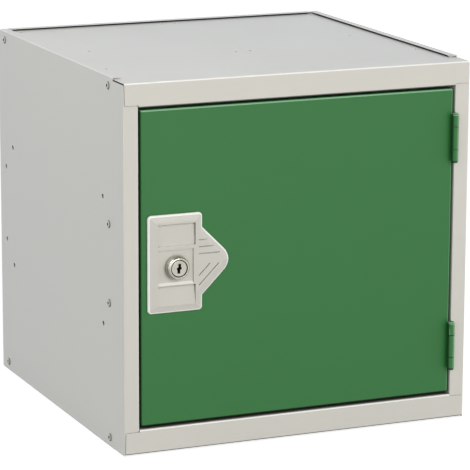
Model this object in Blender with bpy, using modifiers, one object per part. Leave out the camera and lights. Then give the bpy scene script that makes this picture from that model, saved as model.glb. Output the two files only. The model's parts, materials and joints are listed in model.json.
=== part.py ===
"""Steel cube locker with one recessed, lockable door.

Two folded side panels, a top and a floor panel with their front rails, and a
back panel are riveted into a carcass. A boxed door swings on two knuckle
hinges, and a cam lock behind a moulded plate turns its cam behind the upright.

Metres, +Z up, front towards -Y, +X to the right seen from the front. The
origin is on the floor, in the middle of the object's outer box.
"""

import math

import bmesh
import bpy
from mathutils import Matrix, Vector

MM = 0.001

# Carcass
WIDTH = 380 * MM
DEPTH = 380 * MM
HEIGHT = 380 * MM
SHEET = 0.9 * MM
BEND_RADIUS = 1.6 * MM
FIT_GAP = 0.3 * MM
RELIEF = 2.4 * MM
OVERRUN = 1.5 * MM
NEAR = 0.01 * MM

# Side panels and their uprights
UPRIGHT_FACE = 15.8 * MM
STOP_LIP = 11 * MM
TOP_FLANGE = 13 * MM
FLANGE_START = 34 * MM
CORNER_DROP = 4 * MM
TOP_SEAM = 0.7 * MM

# Top and floor panels and their front rails
RAIL_HEIGHT = 26.5 * MM
RAIL_LIP = 10 * MM
PANEL_FLANGE = 19 * MM
FLANGE_SETBACK = 2.5 * MM

# Back panel
BACK_TOP_FLANGE = 12 * MM
BACK_SIDE_FLANGE = 28 * MM
BACK_FLANGE_CLEARANCE = 1.5 * MM

# Holes and rivets
HOLE_DIAMETER = 4.5 * MM
FRONT_HOLE_SETBACK = 42 * MM
REAR_HOLE_SETBACK = 20 * MM
CORNER_HOLE_INSET = 9.6 * MM
MIDDLE_HOLE_SPACING = 81 * MM
NEST_HOLE_FRONT = 59 * MM
NEST_HOLE_REAR = 43 * MM
NEST_HOLE_SPACING = 131 * MM
RIVET_DIAMETER = 4 * MM
RIVET_HEAD_DIAMETER = 8 * MM
RIVET_HEAD_HEIGHT = 1.3 * MM
RIVET_BULB_DIAMETER = 6 * MM
RIVET_BULB_LENGTH = 3 * MM
RIVET_SHOULDER_SHARE = 0.25
TOP_REAR_INSET = 23 * MM
TOP_PAIR_SPACING = 16.5 * MM
TOP_PAIR_SETBACK = 148 * MM
TOP_SINGLE_INSET = 40 * MM
TOP_SINGLE_SETBACK = 205 * MM
TOP_EDGE_INSET = 17 * MM
TOP_EDGE_SETBACK = 92 * MM

# Door
DOOR_GAP = 3.2 * MM
DOOR_RECESS = 1.8 * MM
DOOR_DEPTH = 18 * MM
DOOR_LIP = 12 * MM
DOOR_STOP_GAP = 2 * MM
DOOR_BEND_RADIUS = 2 * MM

# Hinges
HINGE_SPACING = 220 * MM
KNUCKLE_DIAMETER = 8 * MM
HINGE_PIN_DIAMETER = 5.2 * MM
HINGE_PIN_CLEARANCE = 0.2 * MM
LEAF_THICKNESS = 1.2 * MM
LEAF_GAP = 0.2 * MM
LEAF_REACH = 19 * MM
OUTER_KNUCKLE = 12.6 * MM
INNER_KNUCKLE = 23.4 * MM
KNUCKLE_GAP = 0.3 * MM
PIN_HEAD_DIAMETER = 7.2 * MM
PIN_HEAD_HEIGHT = 1.2 * MM
PIN_HEAD_TOP_SHARE = 0.6

# Lock plate, seen from the front
PLATE_LEFT_INSET = 6.2 * MM
PLATE_WIDTH = 58.5 * MM
PLATE_HEIGHT = 100 * MM
PLATE_THICKNESS = 4.5 * MM
PLATE_RISE = 4.5 * MM
PLATE_CORNER_RADIUS = 4 * MM
PLATE_EDGE_RADIUS = 2.6 * MM
ARROW_HEIGHT = 69.5 * MM
ARROW_RADIUS = 16 * MM
NOTCH_RADIUS = 1.5 * MM
RECESS_LEFT = 10.5 * MM
RECESS_RIGHT = 50 * MM
LOWER_RECESS = (8.5 * MM, 27 * MM)
LOWER_RECESS_DEPTHS = (0.6 * MM, 1.4 * MM)
LOCK_RECESS = (29.5 * MM, 63.4 * MM)
LOCK_RECESS_DEPTH = 0.8 * MM
UPPER_RECESS = (69 * MM, 89.5 * MM)
UPPER_RECESS_DEPTH = 1.4 * MM
RECESS_SLOPE = 1.2 * MM
GROOVE_WIDTH = 0.9 * MM
GROOVE_DEPTH = 0.6 * MM
GROOVE_START = 54 * MM
GROOVE_PITCH = 7.2 * MM
UPPER_GROOVE_BASE = 57 * MM
UPPER_GROOVE_ENDS = (80 * MM, 72 * MM, 64 * MM)
SLANT_GROOVE_LENGTHS = (18 * MM, 33 * MM)
SLANT_GROOVE_BASES = (36 * MM, 26 * MM)
SLANT_ANGLE = math.radians(45)

# Cam lock
LOCK_RISE = 1 * MM
LOCK_INSET = 36.3 * MM
BEZEL_DIAMETER = 24.5 * MM
BEZEL_HEIGHT = 7 * MM
BEZEL_RIM = 1 * MM
BEZEL_ANGLES = (0, 22, 45, 67, 90)
RING_DIAMETER = 19 * MM
BARREL_DIAMETER = 18 * MM
BARREL_CLEARANCE = 0.4 * MM
PLUG_DIAMETER = 16 * MM
PLUG_CLEARANCE = 0.35 * MM
PLUG_SETBACK = 0.4 * MM
PLUG_CHAMFER = 0.5 * MM
KEYWAY_WIDTH = 4.2 * MM
KEYWAY_HEIGHT = 9 * MM
KEYWAY_DEPTH = 12 * MM
KEYWAY_SHARES = ((0.55, 1.0), (0.55, 0.3), (1.0, 0.1), (1.0, -0.15), (0.33, -0.35), (0.33, -1.0))
LOCK_NUT_FLATS = 24 * MM
LOCK_NUT_THICKNESS = 4 * MM
CAM_THICKNESS = 2.5 * MM
CAM_LENGTH = 36 * MM
CAM_WIDTH = 14 * MM
CAM_HUB_DIAMETER = 18 * MM
CAM_CLEARANCE = 0.8 * MM
CAM_SQUARE = 8 * MM
CAM_SQUARE_CLEARANCE = 0.3 * MM
WASHER_DIAMETER = 12 * MM
WASHER_THICKNESS = 0.9 * MM
CAM_SCREW_DIAMETER = 4 * MM
CAM_SCREW_LENGTH = 9 * MM
CAM_SCREW_HEAD_DIAMETER = 8 * MM
CAM_SCREW_HEAD_HEIGHT = 2.6 * MM
CAM_SCREW_SLOT = 1.2 * MM

# Lock keep behind the left upright
KEEP_THICKNESS = 1.5 * MM
KEEP_HEIGHT = 108 * MM
KEEP_BASE = 27 * MM
KEEP_BEND_RADIUS = 2.2 * MM

# Rubber buffers on the stop lip
BUFFER_SPACING = 240 * MM
BUFFER_HEAD_DIAMETER = 8 * MM
BUFFER_STEM_DIAMETER = 3.6 * MM
BUFFER_BULB_DIAMETER = 5.4 * MM
BUFFER_BULB_LENGTH = 3 * MM
BUFFER_TOP_SHARE = 0.7
BUFFER_SIDE_SHARE = 0.6
BUFFER_TIP_SHARE = 0.6

# Counts of sides
SMALL_SIDE_COUNT = 16
MEDIUM_SIDE_COUNT = 24
LARGE_SIDE_COUNT = 40
BEND_SEGMENT_COUNT = 3
CORNER_STEP_COUNT = 5
DOME_ANGLES = (0, 30, 60, 90)
FULL_TURN_ANGLE = 360
UNIT = 1.0

# Colours
GREY_PAINT = (0.62, 0.60, 0.56)
GREEN_PAINT = (0.055, 0.19, 0.075)
PLASTIC_GREY = (0.60, 0.58, 0.54)
CHROME = (0.75, 0.74, 0.70)
ZINC = (0.55, 0.55, 0.53)
RUBBER_BLACK = (0.03, 0.03, 0.03)

# Worked-out places, front to back
REACH = PLATE_THICKNESS + FIT_GAP + BEZEL_HEIGHT - DOOR_RECESS - SHEET
FRONT_Y = (REACH - DEPTH) / 2
BACK_Y = FRONT_Y + DEPTH
UPRIGHT_Y = FRONT_Y + SHEET + FIT_GAP
DOOR_Y = UPRIGHT_Y + DOOR_RECESS
STOP_Y = DOOR_Y + DOOR_DEPTH + DOOR_STOP_GAP
KEEP_Y = STOP_Y + SHEET + FIT_GAP
PLATE_BACK_Y = DOOR_Y - FIT_GAP
PLATE_FRONT_Y = PLATE_BACK_Y - PLATE_THICKNESS
BEZEL_BACK_Y = PLATE_FRONT_Y - FIT_GAP
LOCK_FRONT_Y = BEZEL_BACK_Y - BEZEL_HEIGHT
CAM_Y = KEEP_Y + KEEP_THICKNESS + CAM_CLEARANCE
BARREL_END_Y = CAM_Y - FIT_GAP
PANEL_BACK_Y = BACK_Y - SHEET - FIT_GAP
FLANGE_START_Y = FRONT_Y + FLANGE_START
FLANGE_END_Y = PANEL_BACK_Y - RELIEF

# Worked-out places, middle to side
WALL_X = WIDTH / 2
PANEL_X = WALL_X - SHEET - FIT_GAP
OPENING_X = WALL_X - UPRIGHT_FACE
LIP_X = OPENING_X - STOP_LIP
DOOR_X = OPENING_X - DOOR_GAP
BACK_FLANGE_X = WALL_X - TOP_FLANGE - BACK_FLANGE_CLEARANCE

# Worked-out heights
PANEL_Z = HEIGHT - SHEET - TOP_SEAM
OPENING_TOP_Z = HEIGHT - RAIL_HEIGHT
OPENING_BOTTOM_Z = RAIL_HEIGHT
DOOR_TOP_Z = OPENING_TOP_Z - DOOR_GAP
DOOR_BOTTOM_Z = OPENING_BOTTOM_Z + DOOR_GAP
MIDDLE_Z = HEIGHT / 2
BACK_FLANGE_TOP_Z = PANEL_Z - PANEL_FLANGE - RELIEF

# Hinge axis and lock axis
HINGE_X = OPENING_X - DOOR_GAP / 2
HINGE_Y = UPRIGHT_Y - FIT_GAP - KNUCKLE_DIAMETER / 2
HINGE_HEIGHTS = {
    "upper": MIDDLE_Z + HINGE_SPACING / 2,
    "lower": MIDDLE_Z - HINGE_SPACING / 2,
}
LOCK_X = LOCK_INSET - DOOR_X
LOCK_Z = MIDDLE_Z + LOCK_RISE


def start_scene():
    """Empties the scene and makes the collections for the pieces and the cutters."""
    for obj in list(bpy.data.objects):
        bpy.data.objects.remove(obj, do_unlink=True)
    made = []
    for name in ("cube_locker", "cutters"):
        collection = bpy.data.collections.new(name)
        bpy.context.scene.collection.children.link(collection)
        made.append(collection)
    return made


PARTS, CUTTERS = start_scene()


def material(name, colour, roughness, metallic=0.0):
    made = bpy.data.materials.new(name)
    made.use_nodes = True
    shader = made.node_tree.nodes["Principled BSDF"]
    shader.inputs["Base Color"].default_value = (*colour, 1.0)
    shader.inputs["Roughness"].default_value = roughness
    shader.inputs["Metallic"].default_value = metallic
    return made


def add_object(name, mesh, finish):
    """Puts a mesh in the parts collection as one named piece."""
    obj = bpy.data.objects.new(name, mesh)
    mesh.materials.append(finish)
    PARTS.objects.link(obj)
    return obj


def mesh_from(bm, name):
    mesh = bpy.data.meshes.new(name)
    bm.to_mesh(mesh)
    bm.free()
    return mesh


def round_shading(mesh):
    mesh.shade_smooth()
    mesh.set_sharp_from_angle(angle=math.radians(35))


def evaluated_mesh(obj):
    """The mesh of an object with its modifiers worked in."""
    bpy.context.view_layer.update()
    depsgraph = bpy.context.evaluated_depsgraph_get()
    return bpy.data.meshes.new_from_object(obj.evaluated_get(depsgraph))


# Turned pieces


def facing(direction):
    """A turn that points a turned piece's own +Z along a direction."""
    return Vector(direction).to_track_quat("Z", "Y").to_matrix().to_4x4()


def turned(name, profile, place, direction, sides, finish, ring=False):
    """Turns a profile of (radius, height) points, listed from the top down its outer side."""
    bm = bmesh.new()
    verts = [bm.verts.new((radius, 0, height)) for radius, height in profile]
    for first, second in zip(verts, verts[1:]):
        bm.edges.new((first, second))
    if ring:
        bm.edges.new((verts[-1], verts[0]))
    obj = add_object(name, mesh_from(bm, name), finish)
    screw = obj.modifiers.new("turn", "SCREW")
    screw.steps = sides
    screw.render_steps = sides
    screw.use_merge_vertices = True
    screw.merge_threshold = NEAR
    mesh = evaluated_mesh(obj)
    round_shading(mesh)
    obj.modifiers.remove(screw)
    obj.data = mesh
    obj.matrix_world = Matrix.Translation(place) @ facing(direction)
    return obj


# Cutters


def cutter_object(name, mesh):
    obj = bpy.data.objects.new(name, mesh)
    CUTTERS.objects.link(obj)
    obj.hide_render = True
    obj.display_type = "WIRE"
    return obj


def cut(obj, cutter, operation="DIFFERENCE"):
    boolean = obj.modifiers.new(cutter.name, "BOOLEAN")
    boolean.operation = operation
    boolean.object = cutter


def add_rod(bm, middle, direction, diameter, length, sides=SMALL_SIDE_COUNT):
    bmesh.ops.create_cone(
        bm,
        cap_ends=True,
        segments=sides,
        radius1=diameter / 2,
        radius2=diameter / 2,
        depth=length,
        matrix=Matrix.Translation(middle) @ facing(direction),
    )


def add_block(bm, low, high, turn=None):
    """A block between two corners, turned about its own middle."""
    low, high = Vector(low), Vector(high)
    scale = Matrix.Diagonal((*(high - low), 1.0))
    place = Matrix.Translation((low + high) / 2)
    bmesh.ops.create_cube(bm, size=UNIT, matrix=place @ (turn or Matrix.Identity(4)) @ scale)


def add_prism(bm, profile, left, right):
    """A solid with one (y, z) profile from its left end to its right end."""
    ends = [[bm.verts.new((x, y, z)) for y, z in profile] for x in (left, right)]
    faces = [bm.faces.new(end) for end in ends]
    for i, (first, second) in enumerate(zip(*ends)):
        faces.append(bm.faces.new((ends[0][i - 1], first, second, ends[1][i - 1])))
    bmesh.ops.recalc_face_normals(bm, faces=faces)


def rod_cutter(name, middles, direction, diameter, length, sides=SMALL_SIDE_COUNT):
    bm = bmesh.new()
    for middle in middles:
        add_rod(bm, middle, direction, diameter, length, sides)
    return cutter_object(name, mesh_from(bm, name))


def block_cutter(name, blocks):
    bm = bmesh.new()
    for block in blocks:
        add_block(bm, *block)
    return cutter_object(name, mesh_from(bm, name))


# Flat outlines


def arc_points(centre, radius, start, end, count):
    """Points on an arc, from one angle to another, in degrees."""
    angles = [math.radians(start + (end - start) * i / count) for i in range(count + 1)]
    return [(centre[0] + radius * math.cos(a), centre[1] + radius * math.sin(a)) for a in angles]


def round_corners(corners, count=CORNER_STEP_COUNT):
    """Rounds the corners of an outline, given as (x, y, radius) one after the other."""
    points = []
    for i, (x, y, radius) in enumerate(corners):
        here = Vector((x, y))
        before = (Vector(corners[i - 1][:2]) - here).normalized()
        after = (Vector(corners[(i + 1) % len(corners)][:2]) - here).normalized()
        if radius == 0:
            points.append((x, y))
            continue
        half = before.angle(after) / 2
        centre = here + (before + after).normalized() * radius / math.sin(half)
        first = here + before * radius / math.tan(half) - centre
        sweep = first.angle_signed(here + after * radius / math.tan(half) - centre)
        for step in range(count + 1):
            spoke = first.copy()
            spoke.rotate(Matrix.Rotation(-sweep * step / count, 2))
            points.append(tuple(centre + spoke))
    return points


def outline_mesh(name, outlines, thickness):
    """A flat outline, with any others as holes, given a thickness about its plane."""
    curve = bpy.data.curves.new(name, "CURVE")
    curve.dimensions = "2D"
    curve.fill_mode = "BOTH"
    curve.extrude = thickness / 2
    for outline in outlines:
        spline = curve.splines.new("POLY")
        spline.points.add(len(outline) - 1)
        for point, (x, y) in zip(spline.points, outline):
            point.co = (x, y, 0, 1)
        spline.use_cyclic_u = True
    holder = bpy.data.objects.new(name, curve)
    PARTS.objects.link(holder)
    mesh = evaluated_mesh(holder)
    bpy.data.objects.remove(holder)
    bpy.data.curves.remove(curve)
    bm = bmesh.new()
    bm.from_mesh(mesh)
    bmesh.ops.remove_doubles(bm, verts=bm.verts, dist=NEAR)
    bmesh.ops.recalc_face_normals(bm, faces=bm.faces)
    bm.to_mesh(mesh)
    bm.free()
    return mesh


# Outlines in the plane of the door, seen from the front, thickness along Y
FACE_ON = Matrix.Rotation(math.radians(90), 4, "X")


def circle_points(radius, sides, start=0.0):
    turn = FULL_TURN_ANGLE / sides
    return arc_points((0, 0), radius, start, start + FULL_TURN_ANGLE - turn, sides - 1)


# Folded sheet


def sheet_between(bm, low, high):
    """A flat sheet between two opposite corners that share one coordinate."""
    low, high = Vector(low), Vector(high)
    half = (high - low) / 2
    spans = [Vector((half.x, 0, 0)), Vector((0, half.y, 0)), Vector((0, 0, half.z))]
    first, second = [span for span in spans if span.length]
    frame = Matrix((first, second, first.cross(second).normalized())).transposed().to_4x4()
    frame.translation = (low + high) / 2
    bmesh.ops.create_grid(bm, x_segments=1, y_segments=1, size=UNIT, matrix=frame)


def split(bm, axis, *values):
    """Marks the sheet along planes, square to one axis, where it will be trimmed or folded."""
    for value in values:
        place, normal = Vector((0, 0, 0)), Vector((0, 0, 0))
        place[axis] = value
        normal[axis] = 1.0
        geometry = bm.verts[:] + bm.edges[:] + bm.faces[:]
        bmesh.ops.bisect_plane(bm, geom=geometry, plane_co=place, plane_no=normal, dist=NEAR)


def trim(bm, test):
    """Cuts away the pieces of sheet whose middle passes the test."""
    faces = [face for face in bm.faces if test(face.calc_center_median())]
    bmesh.ops.delete(bm, geom=faces, context="FACES")


def fold(bm, test, move):
    """Folds a flange off the free edges whose middle passes the test."""
    edges = [e for e in bm.edges if e.is_boundary and test((e.verts[0].co + e.verts[1].co) / 2)]
    made = bmesh.ops.extrude_edge_only(bm, edges=edges)["geom"]
    verts = [item for item in made if isinstance(item, bmesh.types.BMVert)]
    bmesh.ops.translate(bm, verts=verts, vec=move)


def near(a, b):
    return abs(a - b) < NEAR


def mirrored(bm, axis, plane):
    """Mirrors the sheet in a plane square to one axis."""
    scale = Vector((1, 1, 1))
    scale[axis] = -1
    move = Vector((0, 0, 0))
    move[axis] = 2 * plane
    bmesh.ops.scale(bm, vec=scale, verts=bm.verts)
    bmesh.ops.translate(bm, vec=move, verts=bm.verts)


def folded(name, bm, outward, finish, thickness=SHEET, radius=BEND_RADIUS):
    """Makes a folded sheet piece: its faces are the outer side, and its largest faces outward."""
    bmesh.ops.dissolve_limit(bm, angle_limit=math.radians(1), verts=bm.verts, edges=bm.edges)
    bmesh.ops.recalc_face_normals(bm, faces=bm.faces)
    largest = max(bm.faces, key=lambda face: face.calc_area())
    if largest.normal.dot(Vector(outward)) < 0:
        bmesh.ops.reverse_faces(bm, faces=bm.faces)
    obj = add_object(name, mesh_from(bm, name), finish)
    bevel = obj.modifiers.new("bends", "BEVEL")
    bevel.width = radius
    bevel.segments = BEND_SEGMENT_COUNT
    bevel.limit_method = "ANGLE"
    bevel.angle_limit = math.radians(30)
    solid = obj.modifiers.new("sheet", "SOLIDIFY")
    solid.thickness = thickness
    solid.offset = -1
    solid.use_even_offset = True
    return obj


# Hole patterns of the side panels


def hole_spots(wall_x):
    """Rivet holes at the corners, spare or keep holes between them, and nesting holes."""
    front, rear = FRONT_Y + FRONT_HOLE_SETBACK, BACK_Y - REAR_HOLE_SETBACK
    corner = [(y, z) for y in (front, rear) for z in (CORNER_HOLE_INSET, HEIGHT - CORNER_HOLE_INSET)]
    half = MIDDLE_HOLE_SPACING / 2
    front_middle = [(front, MIDDLE_Z - half), (front, MIDDLE_Z + half)]
    rear_middle = [(rear, MIDDLE_Z - half), (rear, MIDDLE_Z + half)]
    half = NEST_HOLE_SPACING / 2
    nest = [
        (y, z)
        for y in (FRONT_Y + NEST_HOLE_FRONT, BACK_Y - NEST_HOLE_REAR)
        for z in (MIDDLE_Z - half, MIDDLE_Z + half)
    ]
    groups = {"corner": corner, "front_middle": front_middle, "rear_middle": rear_middle, "nest": nest}
    return {key: [Vector((wall_x, y, z)) for y, z in spots] for key, spots in groups.items()}


def wall_holes(name, side, groups, x, length):
    spots = hole_spots(side * x)
    middles = [spot for group in groups for spot in spots[group]]
    return rod_cutter(name, middles, (1, 0, 0), HOLE_DIAMETER, length)


def level_hole_spots():
    """The small holes in the top and floor sheets: pairs in the middle, and ones near the sides."""
    rear = BACK_Y - TOP_REAR_INSET
    rows = (
        (TOP_PAIR_SPACING / 2, (FRONT_Y + TOP_PAIR_SETBACK, rear)),
        (WALL_X - TOP_SINGLE_INSET, (FRONT_Y + TOP_SINGLE_SETBACK,)),
        (WALL_X - TOP_EDGE_INSET, (FRONT_Y + TOP_EDGE_SETBACK, rear)),
    )
    return [(side * x, y) for x, places in rows for y in places for side in (-1, 1)]


def buffer_spots():
    """Where the rubber buffers sit on the left stop lip."""
    x = -(OPENING_X + LIP_X) / 2
    half = BUFFER_SPACING / 2
    heights = {"upper": MIDDLE_Z + half, "lower": MIDDLE_Z - half}
    return {place: Vector((x, STOP_Y, height)) for place, height in heights.items()}


# Carcass


def side_panel(name, side, finish):
    """A wall with its front upright, jamb and stop lip, and its top and bottom flanges."""
    bm = bmesh.new()
    sheet_between(bm, (WALL_X, UPRIGHT_Y, 0), (WALL_X, BACK_Y, HEIGHT))
    split(bm, 1, FLANGE_START_Y, FLANGE_END_Y)
    split(bm, 2, CORNER_DROP, HEIGHT - CORNER_DROP)
    trim(bm, lambda p: abs(p.z - MIDDLE_Z) > MIDDLE_Z - CORNER_DROP
         and not FLANGE_START_Y < p.y < FLANGE_END_Y)
    for edge_z in (0, HEIGHT):
        fold(bm, lambda p: near(p.z, edge_z), (-TOP_FLANGE, 0, 0))
    fold(bm, lambda p: near(p.y, UPRIGHT_Y), (-UPRIGHT_FACE, 0, 0))
    fold(bm, lambda p: near(p.x, OPENING_X) and near(p.y, UPRIGHT_Y), (0, STOP_Y - UPRIGHT_Y, 0))
    fold(bm, lambda p: near(p.x, OPENING_X) and near(p.y, STOP_Y), (-STOP_LIP, 0, 0))
    if side < 0:
        mirrored(bm, 0, 0)
    obj = folded(name, bm, (side, 0, 0), finish)
    groups = ("corner", "front_middle", "rear_middle", "nest")
    cut(obj, wall_holes(name + "_holes", side, groups, WALL_X - SHEET / 2, SHEET + 2 * OVERRUN))
    if side < 0:
        middles = [spot + Vector((0, SHEET / 2, 0)) for spot in buffer_spots().values()]
        cut(obj, rod_cutter(name + "_buffer_holes", middles, (0, 1, 0),
                            BUFFER_STEM_DIAMETER + 2 * FIT_GAP, SHEET + 2 * OVERRUN))
    return obj


def level_panel(name, top, finish):
    """The top sheet with its front rail; the floor panel is the same piece turned over."""
    side_start_y = FLANGE_START_Y + FLANGE_SETBACK
    slot_y = FLANGE_START_Y + FIT_GAP
    slot_x = PANEL_X - RELIEF
    return_x = OPENING_X - FIT_GAP
    lip_x = LIP_X - FIT_GAP
    bm = bmesh.new()
    sheet_between(bm, (-PANEL_X, FRONT_Y, PANEL_Z), (PANEL_X, PANEL_BACK_Y, PANEL_Z))
    split(bm, 0, -slot_x, slot_x)
    split(bm, 1, slot_y, side_start_y, FLANGE_END_Y)
    trim(bm, lambda p: abs(p.x) > slot_x and (slot_y < p.y < side_start_y or p.y > FLANGE_END_Y))
    fold(bm, lambda p: near(abs(p.x), PANEL_X) and p.y > side_start_y, (0, 0, -PANEL_FLANGE))
    fold(bm, lambda p: near(p.y, PANEL_BACK_Y), (0, 0, -PANEL_FLANGE))
    fold(bm, lambda p: near(p.y, FRONT_Y), (0, 0, OPENING_TOP_Z - PANEL_Z))
    split(bm, 0, -return_x, return_x)
    split(bm, 2, OPENING_TOP_Z + RELIEF)
    trim(bm, lambda p: near(p.y, FRONT_Y) and abs(p.x) > return_x and p.z < OPENING_TOP_Z + RELIEF)
    fold(bm, lambda p: near(p.y, FRONT_Y) and near(p.z, OPENING_TOP_Z), (0, STOP_Y - FRONT_Y, 0))
    split(bm, 0, -lip_x, lip_x)
    split(bm, 1, STOP_Y - RELIEF)
    trim(bm, lambda p: near(p.z, OPENING_TOP_Z) and abs(p.x) > lip_x and p.y > STOP_Y - RELIEF)
    fold(bm, lambda p: near(p.z, OPENING_TOP_Z) and near(p.y, STOP_Y), (0, 0, -RAIL_LIP))
    if not top:
        mirrored(bm, 2, MIDDLE_Z)
    level = 1 if top else -1
    obj = folded(name, bm, (0, 0, level), finish)
    for side, label in ((-1, "left"), (1, "right")):
        corners = hole_spots(side * (PANEL_X - SHEET / 2))["corner"]
        spots = [spot for spot in corners if (spot.z > MIDDLE_Z) == top]
        cutter = rod_cutter("%s_holes_%s" % (name, label), spots, (1, 0, 0), HOLE_DIAMETER,
                            SHEET + 2 * OVERRUN)
        cut(obj, cutter)
    sheet_z = MIDDLE_Z + level * (PANEL_Z - SHEET / 2 - MIDDLE_Z)
    middles = [(x, y, sheet_z) for x, y in level_hole_spots()]
    cut(obj, rod_cutter(name + "_level_holes", middles, (0, 0, 1), HOLE_DIAMETER, SHEET + 2 * OVERRUN))
    return obj


def back_panel(name, finish):
    """The back sheet, with flanges forward on its four sides."""
    bm = bmesh.new()
    flange_bottom_z = HEIGHT - BACK_FLANGE_TOP_Z
    sheet_between(bm, (-PANEL_X, BACK_Y, 0), (PANEL_X, BACK_Y, HEIGHT))
    split(bm, 0, -BACK_FLANGE_X, BACK_FLANGE_X, RELIEF - PANEL_X, PANEL_X - RELIEF)
    split(bm, 2, RELIEF, HEIGHT - RELIEF, flange_bottom_z - RELIEF, flange_bottom_z,
          BACK_FLANGE_TOP_Z, BACK_FLANGE_TOP_Z + RELIEF)
    trim(bm, lambda p: abs(p.x) > BACK_FLANGE_X and abs(p.z - MIDDLE_Z) > MIDDLE_Z - RELIEF)
    trim(bm, lambda p: abs(p.x) > PANEL_X - RELIEF
         and 0 < abs(p.z - MIDDLE_Z) - (BACK_FLANGE_TOP_Z - MIDDLE_Z) < RELIEF)
    for edge_z in (0, HEIGHT):
        fold(bm, lambda p: near(p.z, edge_z), (0, -BACK_TOP_FLANGE, 0))
    fold(bm, lambda p: near(abs(p.x), PANEL_X) and flange_bottom_z < p.z < BACK_FLANGE_TOP_Z,
         (0, -BACK_SIDE_FLANGE, 0))
    obj = folded(name, bm, (0, 1, 0), finish)
    for side, label in ((-1, "left"), (1, "right")):
        cutter = wall_holes("%s_holes_%s" % (name, label), side, ("rear_middle",),
                            PANEL_X - SHEET / 2, SHEET + 2 * OVERRUN)
        cut(obj, cutter)
    return obj


def rivet(name, side, spot, grip, finish):
    """A domed rivet, its head outside the wall and its bulb inside what it grips."""
    head, shank, bulb = RIVET_HEAD_DIAMETER / 2, RIVET_DIAMETER / 2, RIVET_BULB_DIAMETER / 2
    dome = [
        (head * math.sin(math.radians(a)), RIVET_HEAD_HEIGHT * math.cos(math.radians(a)) + FIT_GAP)
        for a in DOME_ANGLES
    ]
    inner = -grip - FIT_GAP
    shoulder = RIVET_BULB_LENGTH * RIVET_SHOULDER_SHARE
    profile = dome + [
        (shank, FIT_GAP),
        (shank, inner),
        (bulb, inner - shoulder),
        (bulb, inner - RIVET_BULB_LENGTH + shoulder),
        (shank, inner - RIVET_BULB_LENGTH),
        (0, inner - RIVET_BULB_LENGTH),
    ]
    return turned(name, profile, spot, (side, 0, 0), SMALL_SIDE_COUNT, finish)


def lock_keep(name, finish):
    """An angle riveted to the left wall, whose leg backs the stop lip for the cam."""
    bm = bmesh.new()
    low_z, high_z = MIDDLE_Z - KEEP_HEIGHT / 2, MIDDLE_Z + KEEP_HEIGHT / 2
    base_x = -PANEL_X
    sheet_between(bm, (base_x, KEEP_Y, low_z), (base_x, KEEP_Y + KEEP_BASE, high_z))
    fold(bm, lambda p: near(p.y, KEEP_Y), (PANEL_X - LIP_X, 0, 0))
    obj = folded(name, bm, (-1, 0, 0), finish, KEEP_THICKNESS, KEEP_BEND_RADIUS)
    middle = KEEP_THICKNESS / 2
    cutter = wall_holes(name + "_holes", -1, ("front_middle",), PANEL_X - middle,
                        KEEP_THICKNESS + 2 * OVERRUN)
    cut(obj, cutter)
    return obj


# Door


def door_panel(name, finish):
    """A boxed door: its face, four returns and a lip round the back."""
    bm = bmesh.new()
    back_y = DOOR_Y + DOOR_DEPTH
    sheet_between(bm, (-DOOR_X, DOOR_Y, DOOR_BOTTOM_Z), (DOOR_X, DOOR_Y, DOOR_TOP_Z))
    fold(bm, lambda p: near(p.y, DOOR_Y), (0, DOOR_DEPTH, 0))
    rim = [edge for edge in bm.edges if edge.is_boundary]
    made = bmesh.ops.extrude_edge_only(bm, edges=rim)["geom"]
    for vert in [item for item in made if isinstance(item, bmesh.types.BMVert)]:
        vert.co.x -= math.copysign(DOOR_LIP, vert.co.x)
        vert.co.z -= math.copysign(DOOR_LIP, vert.co.z - MIDDLE_Z)
        vert.co.y = back_y
    obj = folded(name, bm, (0, -1, 0), finish, SHEET, DOOR_BEND_RADIUS)
    place = (LOCK_X, DOOR_Y + SHEET / 2, LOCK_Z)
    diameter = BARREL_DIAMETER + 2 * BARREL_CLEARANCE
    cut(obj, rod_cutter(name + "_hole", [place], (0, 1, 0), diameter, SHEET + 2 * OVERRUN, LARGE_SIDE_COUNT))
    return obj


def buffer(name, spot, finish):
    """A rubber buffer pressed into the stop lip, for the door's back lip to meet."""
    head, stem, bulb = BUFFER_HEAD_DIAMETER / 2, BUFFER_STEM_DIAMETER / 2, BUFFER_BULB_DIAMETER / 2
    head_height = DOOR_STOP_GAP - 2 * FIT_GAP
    inner = -SHEET - FIT_GAP
    profile = [
        (0, head_height + FIT_GAP),
        (head * BUFFER_TOP_SHARE, head_height + FIT_GAP),
        (head, head_height * BUFFER_SIDE_SHARE + FIT_GAP),
        (head, FIT_GAP),
        (stem, FIT_GAP),
        (stem, inner),
        (bulb, inner),
        (bulb * BUFFER_TIP_SHARE, inner - BUFFER_BULB_LENGTH),
        (0, inner - BUFFER_BULB_LENGTH),
    ]
    return turned(name, profile, spot, (0, -1, 0), SMALL_SIDE_COUNT, finish)


# Hinges


def leaf_outline(tail_low, tail_high):
    """A knuckle with its leaf running back from it, seen from above, about the hinge axis."""
    radius = KNUCKLE_DIAMETER / 2
    start = math.degrees(math.acos(tail_low / radius))
    end = math.degrees(math.acos(tail_high / radius)) + FULL_TURN_ANGLE
    outer = arc_points((0, 0), radius, start, end, MEDIUM_SIDE_COUNT)
    outer += [(tail_high, LEAF_REACH), (tail_low, LEAF_REACH)]
    bore = circle_points(HINGE_PIN_DIAMETER / 2 + HINGE_PIN_CLEARANCE, MEDIUM_SIDE_COUNT)
    return [outer, bore]


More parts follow.
